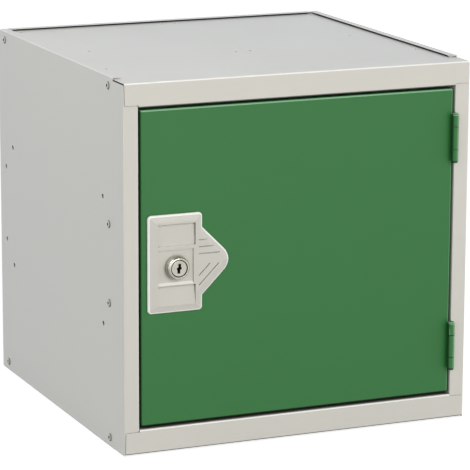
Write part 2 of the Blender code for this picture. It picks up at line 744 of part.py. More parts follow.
def hinge_leaf(name, height, on_door, finish):
    """One leaf of a hinge; the frame's has the two outer knuckles, the door's the middle one."""
    inner_edge = LEAF_GAP / 2
    low, high = inner_edge, inner_edge + LEAF_THICKNESS
    if on_door:
        low, high = -high, -low
    length = 2 * OUTER_KNUCKLE + 2 * KNUCKLE_GAP + INNER_KNUCKLE
    mesh = outline_mesh(name, leaf_outline(low, high), length)
    obj = add_object(name, mesh, finish)
    round_shading(mesh)
    obj.location = (HINGE_X, HINGE_Y, height)
    reach = KNUCKLE_DIAMETER / 2 + FIT_GAP
    half = length / 2
    if on_door:
        spans = [(-half - OVERRUN, -INNER_KNUCKLE / 2), (INNER_KNUCKLE / 2, half + OVERRUN)]
    else:
        clear = INNER_KNUCKLE / 2 + KNUCKLE_GAP
        spans = [(-clear, clear)]
    blocks = [
        (
            (HINGE_X - reach, HINGE_Y - reach, height + bottom),
            (HINGE_X + reach, HINGE_Y + reach, height + top),
        )
        for bottom, top in spans
    ]
    cut(obj, block_cutter(name + "_cut", blocks))
    return obj


def hinge_pin(name, height, finish):
    """The pin, with a domed head at each end."""
    half = OUTER_KNUCKLE + KNUCKLE_GAP + INNER_KNUCKLE / 2 + KNUCKLE_GAP
    shank, head = HINGE_PIN_DIAMETER / 2, PIN_HEAD_DIAMETER / 2
    top = [(0, half + PIN_HEAD_HEIGHT), (head * PIN_HEAD_TOP_SHARE, half + PIN_HEAD_HEIGHT)]
    top += [(head, half + PIN_HEAD_HEIGHT / 2), (head, half), (shank, half)]
    bottom = [(radius, -level) for radius, level in reversed(top)]
    return turned(name, top + bottom, (HINGE_X, HINGE_Y, height), (0, 0, 1), MEDIUM_SIDE_COUNT, finish)


# Lock plate


def plate_corners():
    """The plate's corners from its bottom left one, each with its radius."""
    middle = PLATE_HEIGHT / 2
    half = ARROW_HEIGHT / 2
    return [
        (0, 0, PLATE_CORNER_RADIUS),
        (PLATE_WIDTH, 0, PLATE_CORNER_RADIUS),
        (PLATE_WIDTH, middle - half, NOTCH_RADIUS),
        (PLATE_WIDTH + half, middle, ARROW_RADIUS),
        (PLATE_WIDTH, middle + half, NOTCH_RADIUS),
        (PLATE_WIDTH, PLATE_HEIGHT, PLATE_CORNER_RADIUS),
        (0, PLATE_HEIGHT, PLATE_CORNER_RADIUS),
    ]


def lock_plate(name, finish):
    """The moulded plate round the lock, an upright panel with an arrow towards the door's middle."""
    left_x = PLATE_LEFT_INSET - DOOR_X
    bottom_z = MIDDLE_Z + PLATE_RISE - PLATE_HEIGHT / 2
    mesh = outline_mesh(name, [round_corners(plate_corners())], PLATE_THICKNESS)
    obj = add_object(name, mesh, finish)
    place = Matrix.Translation((left_x, (PLATE_FRONT_Y + PLATE_BACK_Y) / 2, bottom_z))
    obj.matrix_world = place @ FACE_ON
    bevel = obj.modifiers.new("edge", "BEVEL")
    bevel.width = PLATE_EDGE_RADIUS
    bevel.segments = BEND_SEGMENT_COUNT
    bevel.limit_method = "WEIGHT"
    front_edge_weights(mesh, PLATE_THICKNESS / 2)
    cut(obj, recess_cutter(name + "_recesses", left_x, bottom_z))
    cut(obj, groove_cutter(name + "_grooves", left_x, bottom_z))
    diameter = BARREL_DIAMETER + 2 * BARREL_CLEARANCE
    middle = (LOCK_X, (PLATE_FRONT_Y + PLATE_BACK_Y) / 2, LOCK_Z)
    cut(obj, rod_cutter(name + "_bore", [middle], (0, 1, 0), diameter,
                        PLATE_THICKNESS + 2 * OVERRUN, LARGE_SIDE_COUNT))
    return obj


def front_edge_weights(mesh, front_z):
    """Marks the edges round the front of an outline for its bevel."""
    weights = mesh.attributes.new("bevel_weight_edge", "FLOAT", "EDGE")
    for edge in mesh.edges:
        ends = [mesh.vertices[index].co for index in edge.vertices]
        weights.data[edge.index].value = 1.0 if all(near(co.z, front_z) for co in ends) else 0.0


def recess_cutter(name, left_x, bottom_z):
    """Three shallow fields one above the other, each with a lower edge that slopes up to the front."""
    fields = (
        (LOWER_RECESS, LOWER_RECESS_DEPTHS),
        (LOCK_RECESS, (LOCK_RECESS_DEPTH, LOCK_RECESS_DEPTH)),
        (UPPER_RECESS, (UPPER_RECESS_DEPTH, UPPER_RECESS_DEPTH)),
    )
    bm = bmesh.new()
    for (low, high), (low_depth, high_depth) in fields:
        profile = [
            (PLATE_FRONT_Y - OVERRUN, bottom_z + low),
            (PLATE_FRONT_Y, bottom_z + low),
            (PLATE_FRONT_Y + low_depth, bottom_z + low + RECESS_SLOPE),
            (PLATE_FRONT_Y + high_depth, bottom_z + high),
            (PLATE_FRONT_Y - OVERRUN, bottom_z + high),
        ]
        add_prism(bm, profile, left_x + RECESS_LEFT, left_x + RECESS_RIGHT)
    return cutter_object(name, mesh_from(bm, name))


def groove_cutter(name, left_x, bottom_z):
    """Three level grooves and two slanting ones across the arrow."""
    front_y, floor_y = PLATE_FRONT_Y - OVERRUN, PLATE_FRONT_Y + GROOVE_DEPTH
    half = GROOVE_WIDTH / 2
    blocks = []
    for row, end in enumerate(UPPER_GROOVE_ENDS):
        z = bottom_z + UPPER_GROOVE_BASE + row * GROOVE_PITCH
        blocks.append(((left_x + GROOVE_START, front_y, z - half), (left_x + end, floor_y, z + half)))
    slant = Matrix.Rotation(-SLANT_ANGLE, 4, "Y")
    for base, length in zip(SLANT_GROOVE_BASES, SLANT_GROOVE_LENGTHS):
        x = left_x + GROOVE_START + length / 2 * math.cos(SLANT_ANGLE)
        z = bottom_z + base + length / 2 * math.sin(SLANT_ANGLE)
        low = (x - length / 2, front_y, z - half)
        blocks.append((low, (x + length / 2, floor_y, z + half), slant))
    return block_cutter(name, blocks)


# Cam lock


def lock_housing(name, finish):
    """The bezel and barrel in one turned piece, bored for the plug."""
    bore = PLUG_DIAMETER / 2 + PLUG_CLEARANCE
    base, ring = BEZEL_DIAMETER / 2, RING_DIAMETER / 2
    steps = [(math.sin(math.radians(a)), 1 - math.cos(math.radians(a))) for a in BEZEL_ANGLES]
    shoulder = BEZEL_HEIGHT - BEZEL_RIM
    flank = [(ring + (base - ring) * out, BEZEL_HEIGHT - shoulder * down) for out, down in steps]
    profile = [(bore, BEZEL_HEIGHT)] + flank + [
        (base, 0),
        (BARREL_DIAMETER / 2, 0),
        (BARREL_DIAMETER / 2, BEZEL_BACK_Y - BARREL_END_Y),
        (bore, BEZEL_BACK_Y - BARREL_END_Y),
    ]
    place = (LOCK_X, BEZEL_BACK_Y, LOCK_Z)
    return turned(name, profile, place, (0, -1, 0), LARGE_SIDE_COUNT, finish, ring=True)


def lock_nut(name, finish):
    """The hexagon nut that clamps the barrel to the back of the door's face."""
    radius = LOCK_NUT_FLATS / 2 / math.cos(math.radians(30))
    hole = circle_points(BARREL_DIAMETER / 2 + BARREL_CLEARANCE, LARGE_SIDE_COUNT)
    mesh = outline_mesh(name, [circle_points(radius, 6), hole], LOCK_NUT_THICKNESS)
    obj = add_object(name, mesh, finish)
    y = DOOR_Y + SHEET + FIT_GAP + LOCK_NUT_THICKNESS / 2
    obj.matrix_world = Matrix.Translation((LOCK_X, y, LOCK_Z)) @ FACE_ON
    bevel = obj.modifiers.new("edge", "BEVEL")
    bevel.width = BARREL_CLEARANCE
    bevel.segments = 1
    bevel.limit_method = "ANGLE"
    bevel.angle_limit = math.radians(50)
    return obj


def keyway_outline():
    """A zigzag slot, the same when turned half round, for a key with grooved flanks."""
    right = [(x * KEYWAY_WIDTH / 2, z * KEYWAY_HEIGHT / 2) for x, z in KEYWAY_SHARES]
    return right + [(-x, -z) for x, z in right]


def lock_plug(name, finish):
    """The plug that the key turns, with a square end for the cam."""
    radius = PLUG_DIAMETER / 2
    front_y = LOCK_FRONT_Y + PLUG_SETBACK
    length = BARREL_END_Y - front_y
    profile = [
        (0, 0),
        (radius - PLUG_CHAMFER, 0),
        (radius, -PLUG_CHAMFER),
        (radius, -length),
        (0, -length),
    ]
    obj = turned(name, profile, (LOCK_X, front_y, LOCK_Z), (0, -1, 0), LARGE_SIDE_COUNT, finish)
    half = CAM_SQUARE / 2
    end_y = CAM_Y + CAM_THICKNESS
    square = block_cutter(name + "_square", [
        ((LOCK_X - half, BARREL_END_Y - OVERRUN, LOCK_Z - half), (LOCK_X + half, end_y, LOCK_Z + half)),
    ])
    cut(obj, square, "UNION")
    keyway = cutter_object(name + "_keyway", outline_mesh(name + "_keyway", [keyway_outline()],
                                                          KEYWAY_DEPTH + OVERRUN))
    keyway_y = front_y + (KEYWAY_DEPTH - OVERRUN) / 2
    keyway.matrix_world = Matrix.Translation((LOCK_X, keyway_y, LOCK_Z)) @ FACE_ON
    cut(obj, keyway)
    depth = CAM_SCREW_LENGTH + OVERRUN
    hole = rod_cutter(name + "_screw_hole", [(LOCK_X, end_y + OVERRUN - depth / 2, LOCK_Z)], (0, 1, 0),
                      CAM_SCREW_DIAMETER + 2 * FIT_GAP, depth)
    cut(obj, hole)
    return obj


def cam_outline():
    """A round hub with an arm that hangs down, round at its end."""
    hub, half = CAM_HUB_DIAMETER / 2, CAM_WIDTH / 2
    meet = math.degrees(math.asin(half / hub))
    down = -FULL_TURN_ANGLE / 4
    outer = arc_points((0, 0), hub, down + meet, down + FULL_TURN_ANGLE - meet, MEDIUM_SIDE_COUNT)
    outer += arc_points((0, half - CAM_LENGTH), half, FULL_TURN_ANGLE / 2, FULL_TURN_ANGLE,
                        MEDIUM_SIDE_COUNT // 2)
    square = CAM_SQUARE / 2 + CAM_SQUARE_CLEARANCE
    return [outer, [(-square, -square), (square, -square), (square, square), (-square, square)]]


def lock_cam(name, finish):
    mesh = outline_mesh(name, cam_outline(), CAM_THICKNESS)
    obj = add_object(name, mesh, finish)
    obj.matrix_world = Matrix.Translation((LOCK_X, CAM_Y + CAM_THICKNESS / 2, LOCK_Z)) @ FACE_ON
    return obj


def cam_washer(name, finish):
    inner, outer = CAM_SCREW_DIAMETER / 2 + FIT_GAP, WASHER_DIAMETER / 2
    profile = [(inner, WASHER_THICKNESS), (outer, WASHER_THICKNESS), (outer, 0), (inner, 0)]
    place = (LOCK_X, CAM_Y + CAM_THICKNESS + FIT_GAP, LOCK_Z)
    return turned(name, profile, place, (0, 1, 0), MEDIUM_SIDE_COUNT, finish, ring=True)


def cam_screw(name, finish):
    """The screw that holds the cam on the plug, with a domed, slotted head."""
    shank, head = CAM_SCREW_DIAMETER / 2, CAM_SCREW_HEAD_DIAMETER / 2
    dome = [
        (head * math.sin(math.radians(a)), CAM_SCREW_HEAD_HEIGHT * math.cos(math.radians(a)))
        for a in DOME_ANGLES
    ]
    reach = CAM_SCREW_LENGTH - FIT_GAP
    profile = dome + [(shank, 0), (shank, -reach), (0, -reach)]
    under_y = CAM_Y + CAM_THICKNESS + WASHER_THICKNESS + 2 * FIT_GAP
    obj = turned(name, profile, (LOCK_X, under_y, LOCK_Z), (0, 1, 0), MEDIUM_SIDE_COUNT, finish)
    half = CAM_SCREW_SLOT / 2
    top_y = under_y + CAM_SCREW_HEAD_HEIGHT
    slot = ((LOCK_X - head - OVERRUN, top_y - CAM_SCREW_SLOT, LOCK_Z - half),
            (LOCK_X + head + OVERRUN, top_y + OVERRUN, LOCK_Z + half))
    cut(obj, block_cutter(name + "_slot", [slot]))
    return obj


# Assembly


def pivot(name, place, parent=None):
    """An empty on a joint's axis, which carries what turns with the joint."""
    empty = bpy.data.objects.new(name, None)
    PARTS.objects.link(empty)
    empty.location = place
    if parent:
        carry(parent, [empty])
    return empty


def carry(parent, children):
    """Parents pieces where they are."""
    bpy.context.view_layer.update()
    for child in children:
        child.parent = parent
        child.matrix_parent_inverse = parent.matrix_world.inverted()


def main():
    grey = material("grey_paint", GREY_PAINT, 0.45)
    green = material("green_paint", GREEN_PAINT, 0.4)
    plastic = material("grey_plastic", PLASTIC_GREY, 0.45)
    chrome = material("chrome", CHROME, 0.15, 1.0)
    zinc = material("zinc_steel", ZINC, 0.4, 1.0)
    rubber = material("black_rubber", RUBBER_BLACK, 0.7)

    for name, side in (("left", -1), ("right", 1)):
        side_panel(name + "_side_panel", side, grey)
        spots = hole_spots(side * WALL_X)
        places = ("front_bottom", "front_top", "rear_bottom", "rear_top")
        for place, spot in zip(places, spots["corner"]):
            rivet("%s_rivet_%s" % (name, place), side, spot, 2 * SHEET + FIT_GAP, grey)
    for place, spot in zip(("lower", "upper"), hole_spots(-WALL_X)["front_middle"]):
        rivet("lock_keep_rivet_" + place, -1, spot, SHEET + FIT_GAP + KEEP_THICKNESS, grey)
    level_panel("top_panel", True, grey)
    level_panel("floor_panel", False, grey)
    back_panel("back_panel", grey)
    lock_keep("lock_keep", zinc)

    for place, spot in buffer_spots().items():
        buffer("door_buffer_" + place, spot, rubber)

    door_parts = [door_panel("door_panel", green), lock_plate("lock_plate", plastic)]
    door_parts += [lock_housing("lock_housing", chrome), lock_nut("lock_nut", zinc)]
    for name, height in HINGE_HEIGHTS.items():
        hinge_leaf(name + "_hinge_frame_leaf", height, False, green)
        door_parts.append(hinge_leaf(name + "_hinge_door_leaf", height, True, green))
        hinge_pin(name + "_hinge_pin", height, green)
    turning = [lock_plug("lock_plug", chrome), lock_cam("lock_cam", zinc)]
    turning += [cam_washer("cam_washer", zinc), cam_screw("cam_screw", zinc)]

    door_pivot = pivot("door_pivot", (HINGE_X, HINGE_Y, MIDDLE_Z))
    lock_pivot = pivot("lock_pivot", (LOCK_X, CAM_Y, LOCK_Z), door_pivot)
    carry(door_pivot, door_parts)
    carry(lock_pivot, turning)


main()
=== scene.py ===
"""Cube locker: folded steel carcass, boxed door, knuckle hinges and a cam lock.

Metres, +Z up, front towards -Y. Each piece is modelled where it sits on the
locker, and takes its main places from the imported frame.
"""

import json
import math
from collections import namedtuple
from contextlib import contextmanager

import bmesh
import bpy
from bpy.props import FloatProperty, FloatVectorProperty, PointerProperty
from mathutils import Matrix, Vector


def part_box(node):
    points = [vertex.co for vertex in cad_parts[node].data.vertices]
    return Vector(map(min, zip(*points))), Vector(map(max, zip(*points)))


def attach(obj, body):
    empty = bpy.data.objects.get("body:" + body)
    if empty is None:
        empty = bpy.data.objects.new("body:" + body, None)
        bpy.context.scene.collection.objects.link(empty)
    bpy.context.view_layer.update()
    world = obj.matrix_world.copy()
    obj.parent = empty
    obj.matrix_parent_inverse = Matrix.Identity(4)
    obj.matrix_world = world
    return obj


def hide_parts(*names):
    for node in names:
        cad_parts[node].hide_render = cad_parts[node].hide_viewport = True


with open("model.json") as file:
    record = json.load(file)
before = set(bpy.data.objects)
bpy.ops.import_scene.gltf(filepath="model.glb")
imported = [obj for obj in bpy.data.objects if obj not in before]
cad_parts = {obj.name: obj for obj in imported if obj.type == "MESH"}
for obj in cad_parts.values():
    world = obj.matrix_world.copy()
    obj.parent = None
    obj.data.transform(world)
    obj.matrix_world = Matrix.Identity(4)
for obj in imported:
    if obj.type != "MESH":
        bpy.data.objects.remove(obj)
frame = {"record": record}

bl_info = {
    "name": "Cube Locker",
    "version": (1, 0, 0),
    "blender": (4, 5, 0),
    "location": "View3D > Sidebar > Cube Locker",
    "description": "Builds a riveted steel cube locker with a hinged door and a cam lock",
    "category": "Add Mesh",
}

MM = 0.001
QUARTER = math.radians(90)
RIGHT, BACK, UP = Vector((1, 0, 0)), Vector((0, 1, 0)), Vector((0, 0, 1))
NEAR = 0.01 * MM  # places closer than this are one place
PUNCH = 6 * MM  # length of the rods that cut holes in sheet
BORE = 30 * MM  # length of the rods that cut holes in thicker pieces

SIDE_LOW, SIDE_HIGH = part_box("left_side_panel")
TOP_LOW, TOP_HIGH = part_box("top_panel")
BACK_LOW, BACK_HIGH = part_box("back_panel")
KEEP_LOW, KEEP_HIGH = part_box("lock_keep")
DOOR_LOW, DOOR_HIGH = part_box("door_panel")
PLATE_LOW, PLATE_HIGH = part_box("lock_plate")
BEZEL_LOW, BEZEL_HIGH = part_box("lock_housing")
PLUG_LOW, PLUG_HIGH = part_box("lock_plug")
CAM_LOW, CAM_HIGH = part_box("lock_cam")

MIDDLE_Z = SIDE_HIGH.z / 2
LOCK_CENTRE = (BEZEL_LOW + BEZEL_HIGH) / 2
RECORD = frame["record"]
BODY_OF = {node: body for body, nodes in RECORD["behaviour"]["bodies"].items()
           for node in nodes}
SLOT_OF = {item["node"]: item["material_slot"] for item in RECORD["subparts"]}

# The plate's fields and grooves, in millimetres from its lower left corner, and
# the grooves' slant in degrees
Field = namedtuple("Field", "right base top slope base_depth top_depth")
FIELDS = (
    Field(50.3, 7.0, 27.6, 2.0, 0.35, 2.6),
    Field(48.2, 28.6, 64.2, 2.6, 1.3, 1.3),
    Field(50.3, 67.9, 90.3, 0.3, 1.6, 3.0),
)
Groove = namedtuple("Groove", "height length angle")
GROOVES = (
    Groove(58.2, 22.5, 0),
    Groove(65.3, 15.8, 0),
    Groove(72.4, 9, 0),
    Groove(36, 16.5, 45),
    Groove(26, 30, 45),
)


def length(name, description, millimetres):
    """A size of the locker that a user may change."""
    return FloatProperty(name=name, description=description, default=millimetres * MM,
                         min=0.0, unit="LENGTH", precision=4)


def degrees(name, description, value):
    return FloatProperty(name=name, description=description, default=math.radians(value),
                         subtype="ANGLE")


def amount(name, description, value):
    return FloatProperty(name=name, description=description, default=value)


def paint(name, description, colour):
    return FloatVectorProperty(name=name, description=description, default=colour,
                               subtype="COLOR", size=3, min=0.0, max=1.0)


class CarcassSizes(bpy.types.PropertyGroup):
    sheet: length("Sheet", "Thickness of the steel sheet", 0.9)
    bend: length("Bend", "Outer radius of the folds", 1.6)
    edge: length("Edge", "Radius left on the cut edges by the coating", 0.16)
    upright: length("Upright", "Width of the uprights beside the door", 15.8)
    side_flange: length("Side flange", "Width of the flanges along the sides", 9.5)
    flange_start: length("Flange start", "How far back the side flanges begin", 30)
    corner_drop: length("Corner drop", "How far the side walls drop at their top corners", 3.4)
    corner_lift: length("Corner lift", "How far the side walls lift at their bottom corners", 0.6)
    foot_lift: length("Foot lift", "How far above the floor sheet the uprights end", 1)
    rail: length("Rail", "Height of the rails above and below the door", 26.5)
    ramp: length("Ramp", "Length of the flanges' pressed-down front ends", 4)
    ramp_inset: length("Ramp inset", "Width beside the wall that isn't pressed down", 2)
    ramp_drop: length("Ramp drop", "How far those ends' outer faces are pressed down", 1.05)
    end_drop: length("End drop", "How far those ends' inner faces are pressed down", 0.62)
    shear: length("Shear", "How far the sheared edges of the flanges slant back", 1.4)
    rail_gap: length("Rail gap", "How far the rails' ends draw back from the walls", 0.5)
    panel_flange: length("Panel flange", "Width of the top and floor sheets' flanges", 19)
    panel_lag: length("Panel lag", "How far behind the side flanges those flanges begin", 2.5)
    relief: length("Relief", "Width of the cuts where folds meet", 2.4)
    fit: length("Fit", "Gap between pieces that touch", 0.3)
    back_flange: length("Back flange", "Width of the back sheet's top flange", 12)
    back_gap: length("Back gap", "Gap between that flange and the side flanges", 1.5)
    back_side_flange: length("Back side flange", "Width of the back sheet's side flanges", 28)
    stop_gap: length("Stop gap", "Gap between the shut door and its stop", 2)
    hole: length("Hole", "Diameter of the rivet and bolt holes", 5)
    nest_front: length("Front nesting holes", "How far behind the front rivets they are", 17)
    nest_rear: length("Rear nesting holes", "How far before the rear rivets they are", 23)
    nest_spacing: length("Nesting spacing", "Height between the nesting holes", 131)
    buffer_hole: length("Buffer hole", "Diameter of the holes for the door buffers", 4.2)
    rivet_head: length("Rivet head", "Diameter of the rivets' heads", 8)
    rivet_height: length("Rivet height", "Height of the rivets' heads", 1.55)
    rivet_shank: length("Rivet shank", "Diameter of the rivets' shanks", 4)
    rivet_bulb: length("Rivet bulb", "Diameter of the bulbs behind the sheet", 6)
    bulb_length: length("Bulb length", "Length of those bulbs", 3)
    mandrel: length("Mandrel", "Diameter of the holes that the mandrels leave", 3.4)
    mandrel_depth: length("Mandrel depth", "Depth of those holes", 3.4)
    keep_sheet: length("Keep sheet", "Thickness of the lock keep", 1.5)
    keep_bend: length("Keep bend", "Outer radius of the lock keep's fold", 2.2)
    keep_corner: length("Keep corner", "Radius of the lock keep's corners", 4)


class DoorSizes(bpy.types.PropertyGroup):
    sheet: length("Sheet", "Thickness of the door's sheet", 0.9)
    bend: length("Bend", "Outer radius round the door's face", 2)
    edge: length("Edge", "Radius left on the cut edges by the coating", 0.16)
    lip: length("Lip", "Width of the lip round the door's back", 12)
    hinge_edge: length("Hinge edge", "How far the door reaches into the gap at the hinges", 1.7)
    sill_edge: length("Sill edge", "How far the door reaches into the gap at the sill", 0.9)
    knuckle: length("Knuckle", "Diameter of the hinges' knuckles", 7)
    knuckle_end: length("Knuckle end", "Radius round the ends of the hinges", 1.2)
    inner_knuckle: length("Inner knuckle", "Length of a hinge's middle knuckle", 23)
    leaf_edge: length("Leaf edge", "Radius left on the leaves' edges", 0.35)
    pin: length("Pin", "Diameter of the hinge pins", 5.2)
    pin_fit: length("Pin fit", "How much wider the knuckles are bored", 0.4)
    pin_head: length("Pin head", "Diameter of the hinge pins' heads", 6.6)
    leaf: length("Leaf", "Thickness of the hinge leaves", 1.2)
    leaf_gap: length("Leaf gap", "Distance of the leaves from the plane through the pin", 0.1)
    play: length("Play", "Gap round the knuckles", 0.7)
    lock_hole: length("Lock hole", "Diameter of the hole for the lock's barrel", 18.8)


class LockSizes(bpy.types.PropertyGroup):
    plate_width: length("Plate width", "Width of the plate's upright panel", 58.5)
    arrow: length("Arrow", "Height of the arrow where it leaves the panel", 69.5)
    corner: length("Corner", "Radius of the plate's corners", 4)
    tip: length("Tip", "Radius of the arrow's tip", 16)
    notch: length("Notch", "Radius where the arrow meets the panel", 1.5)
    edge: length("Edge", "Radius round the plate's front edge", 1.9)
    rim: length("Rim", "Width of the sloping rim round the plate", 7.5)
    rim_drop: length("Rim drop", "How far the rim slopes back", 1.7)
    groove: length("Groove", "Width of the grooves in the arrow", 1.1)
    groove_depth: length("Groove depth", "Depth of the grooves in the arrow", 0.8)
    groove_start: length("Groove start", "Where the grooves start, from the plate's left", 54)
    field_start: length("Field start", "Where the fields start, from the plate's left", 10.5)
    lock_hole: length("Lock hole", "Diameter of the hole for the barrel", 18.8)
    ring: length("Ring", "Diameter of the bezel's flat front ring", 19)
    bezel: length("Bezel", "Depth of the bezel, from its ring to the plate", 7)
    barrel: length("Barrel", "Diameter of the lock's barrel", 18)
    plug: length("Plug", "Diameter of the plug", 16)
    plug_fit: length("Plug fit", "Gap round the plug", 0.35)
    plug_head: length("Plug head", "Diameter of the plug's front", 16.2)
    plug_gap: length("Plug gap", "Width of the ring gap round the plug's front", 0.8)
    keyway: length("Keyway", "Width of the keyway", 5.2)
    keyway_height: length("Keyway height", "Height of the keyway", 10)
    keyway_depth: length("Keyway depth", "Depth of the keyway", 12)
    nut: length("Nut", "Width of the lock nut across its flats", 24)
    nut_fit: length("Nut fit", "How much wider than the barrel the nut is bored", 0.8)
    cam_hub: length("Cam hub", "Diameter of the cam's hub", 18)
    cam_arm: length("Cam arm", "Width of the cam's arm", 14)
    cam_square: length("Cam square", "Width of the plug's square end", 8)
    cam_fit: length("Cam fit", "Gap between the square end and the cam", 0.3)
    screw_hole: length("Screw hole", "Diameter of the hole for the cam's screw", 4.6)
    screw_depth: length("Screw depth", "Depth of that hole in the plug", 9)
    screw: length("Screw", "Diameter of the cam's screw", 4)
    screw_head: length("Screw head", "Height of that screw's head", 2.6)
    slot: length("Slot", "Width and depth of the slot in that head", 1.2)


class Colours(bpy.types.PropertyGroup):
    grey_paint: paint("Grey coat", "Powder coat of the carcass", (0.60, 0.588, 0.545))
    green_paint: paint("Green coat", "Powder coat of the door and hinges", (0.020, 0.145, 0.032))
    grey_plastic: paint("Plate", "Moulded plastic of the lock plate", (0.56, 0.548, 0.50))
    chrome: paint("Nickel", "Plating of the bezel and plug", (0.46, 0.445, 0.39))
    zinc_steel: paint("Zinc", "Zinc plating of the cam, keep and nut", (0.56, 0.57, 0.57))
    black_rubber: paint("Rubber", "Rubber of the door buffers", (0.022, 0.022, 0.023))


class StageSettings(bpy.types.PropertyGroup):
    camera: FloatVectorProperty(name="Camera", description="Where the camera stands", size=3,
                                default=(-1.1668, -2.7471, 0.8412), subtype="TRANSLATION",
                                unit="LENGTH")
    turn: degrees("Turn", "How far right of +Y the camera looks", 23.156)
    dip: degrees("Dip", "How far below level the camera looks", 12.608)
    roll: degrees("Roll", "How far the camera leans", 0.207)
    lens: FloatProperty(name="Lens", description="Focal length", default=218.81, unit="CAMERA")
    sky: amount("Sky", "Strength of the studio's light at the horizon", 1.55)
    zenith: amount("Zenith", "Share of that strength overhead", 0.10)
    key: amount("Key", "Power of the front softbox, in watts", 39.5)
    top: amount("Top", "Power of the softbox overhead, in watts", 1.4)


class LockerSettings(bpy.types.PropertyGroup):
    carcass: PointerProperty(type=CarcassSizes)
    door: PointerProperty(type=DoorSizes)
    lock: PointerProperty(type=LockSizes)
    colours: PointerProperty(type=Colours)
    stage: PointerProperty(type=StageSettings)


# Editing by hand


def deselect():
    bpy.ops.object.select_all(action="DESELECT")


def activate(obj):
    deselect()
    bpy.context.view_layer.objects.active = obj
    obj.select_set(True)


def select_all():
    bpy.ops.mesh.select_all(action="SELECT")


@contextmanager
def editing(obj):
    """Opens a piece in edit mode with all of it selected, and closes it again."""
    activate(obj)
    bpy.ops.object.mode_set(mode="EDIT")
    bpy.ops.mesh.select_mode(type="VERT")
    select_all()
    yield
    bpy.ops.object.mode_set(mode="OBJECT")


def middle(item):
    """The middle of a vertex, an edge or a face."""
    if isinstance(item, bmesh.types.BMVert):
        return item.co
    return sum((vert.co for vert in item.verts), Vector()) / len(item.verts)


def select(kind, test):
    """Selects the vertices, edges or faces that pass the test."""
    mesh = bpy.context.object.data
    bpy.ops.mesh.select_mode(type=kind)
    bpy.ops.mesh.select_all(action="DESELECT")
    bm = bmesh.from_edit_mesh(mesh)
    items = {"VERT": bm.verts, "EDGE": bm.edges, "FACE": bm.faces}[kind]
    found = [item for item in items if test(item)]
    if not found:
        raise RuntimeError("nothing passed the test on " + bpy.context.object.name)
    for item in found:
        item.select_set(True)
    bmesh.update_edit_mesh(mesh)


def near(a, b):
    return abs(a - b) < NEAR


def pull(extrude, offset):
    """Extrudes what is selected, with one of the mesh's extrude operators."""
    extrude(TRANSFORM_OT_translate={"value": offset})


def face_outward():
    """Turns the faces of the open piece outward."""
    select_all()
    bpy.ops.mesh.normals_make_consistent(inside=False)


def settle(obj, name):
    """Names a new primitive and brings its origin to the world's."""
    activate(obj)
    bpy.ops.object.transform_apply(location=True, rotation=True, scale=True)
    obj.name = name
    return obj


def modify(obj, kind, **settings):
    """Adds a modifier, sets it and applies it."""
    activate(obj)
    bpy.ops.object.modifier_add(type=kind)
    modifier = obj.modifiers[-1]
    for key, value in settings.items():
        setattr(modifier, key, value)
    bpy.ops.object.modifier_apply(modifier=modifier.name)


def copy_of(obj, name):
    activate(obj)
    bpy.ops.object.duplicate(linked=False)
    made = bpy.context.object
    made.name = name
    return made


def move_by(obj, offset):
    with editing(obj):
        bpy.ops.transform.translate(value=offset)


def mirror(obj, axis, plane):
    """Mirrors a piece in a plane square to one axis."""
    scale = Vector((1, 1, 1))
    scale[axis] = -1
    with editing(obj):
        centre = Vector()
        centre[axis] = plane
        bpy.ops.transform.resize(value=scale, center_override=centre)
        bpy.ops.mesh.flip_normals()


def joined(objects, name):
    activate(objects[0])
    for obj in objects:
        obj.select_set(True)
    if len(objects) > 1:
        bpy.ops.object.join()
    return settle(bpy.context.object, name)


# Cutters


def rod(spot, direction, diameter, depth, sides=32):
    turn = Vector(direction).to_track_quat("Z", "Y").to_euler()
    deselect()
    bpy.ops.mesh.primitive_cylinder_add(vertices=sides, radius=diameter / 2, depth=depth,
                                        location=spot, rotation=turn)
    return settle(bpy.context.object, "rod")


def punch(obj, spots, direction, diameter, sides=32):
    """Punches round holes through a sheet."""
    cutters = [rod(spot, direction, diameter, PUNCH, sides) for spot in spots]
    return combine(obj, joined(cutters, "punches"))


def block(low, high):
    low, high = Vector(low), Vector(high)
    deselect()
    bpy.ops.mesh.primitive_cube_add(size=1, location=(low + high) / 2)
    bpy.context.object.scale = high - low
    return settle(bpy.context.object, "block")


def combine(obj, other, operation="DIFFERENCE"):
    """Cuts another shape away from a piece, or joins it on, and removes that shape."""
    modify(obj, "BOOLEAN", operation=operation, object=other, solver="EXACT")
    bpy.data.objects.remove(other)
    return obj


# Folded sheet


def flat_sheet(name, low, high):
    """A flat sheet between two opposite corners that share one coordinate."""
    low, high = Vector(low), Vector(high)
    span = high - low
    axis = min(range(3), key=lambda i: abs(span[i]))
    turn, size = (
        ((0, QUARTER, 0), (span.z, span.y)),
        ((QUARTER, 0, 0), (span.x, span.z)),
        ((0, 0, 0), (span.x, span.y)),
    )[axis]
    deselect()
    bpy.ops.mesh.primitive_plane_add(size=1, location=(low + high) / 2, rotation=turn)
    bpy.context.object.scale = (*size, 1)
    return settle(bpy.context.object, name)


def mark(axis, *places):
    """Scores the sheet along planes square to one axis."""
    normal = Vector()
    normal[axis] = 1
    for place in places:
        select_all()
        bpy.ops.mesh.bisect(plane_co=normal * place, plane_no=normal, threshold=NEAR)


def cut_away(test):
    select("FACE", lambda face: test(middle(face)))
    bpy.ops.mesh.delete(type="FACE")


def fold(test, move):
    """Pulls a flange off the free edges whose middle passes the test."""
    select("EDGE", lambda edge: edge.is_boundary and test(middle(edge)))
    pull(bpy.ops.mesh.extrude_edges_move, Vector(move))


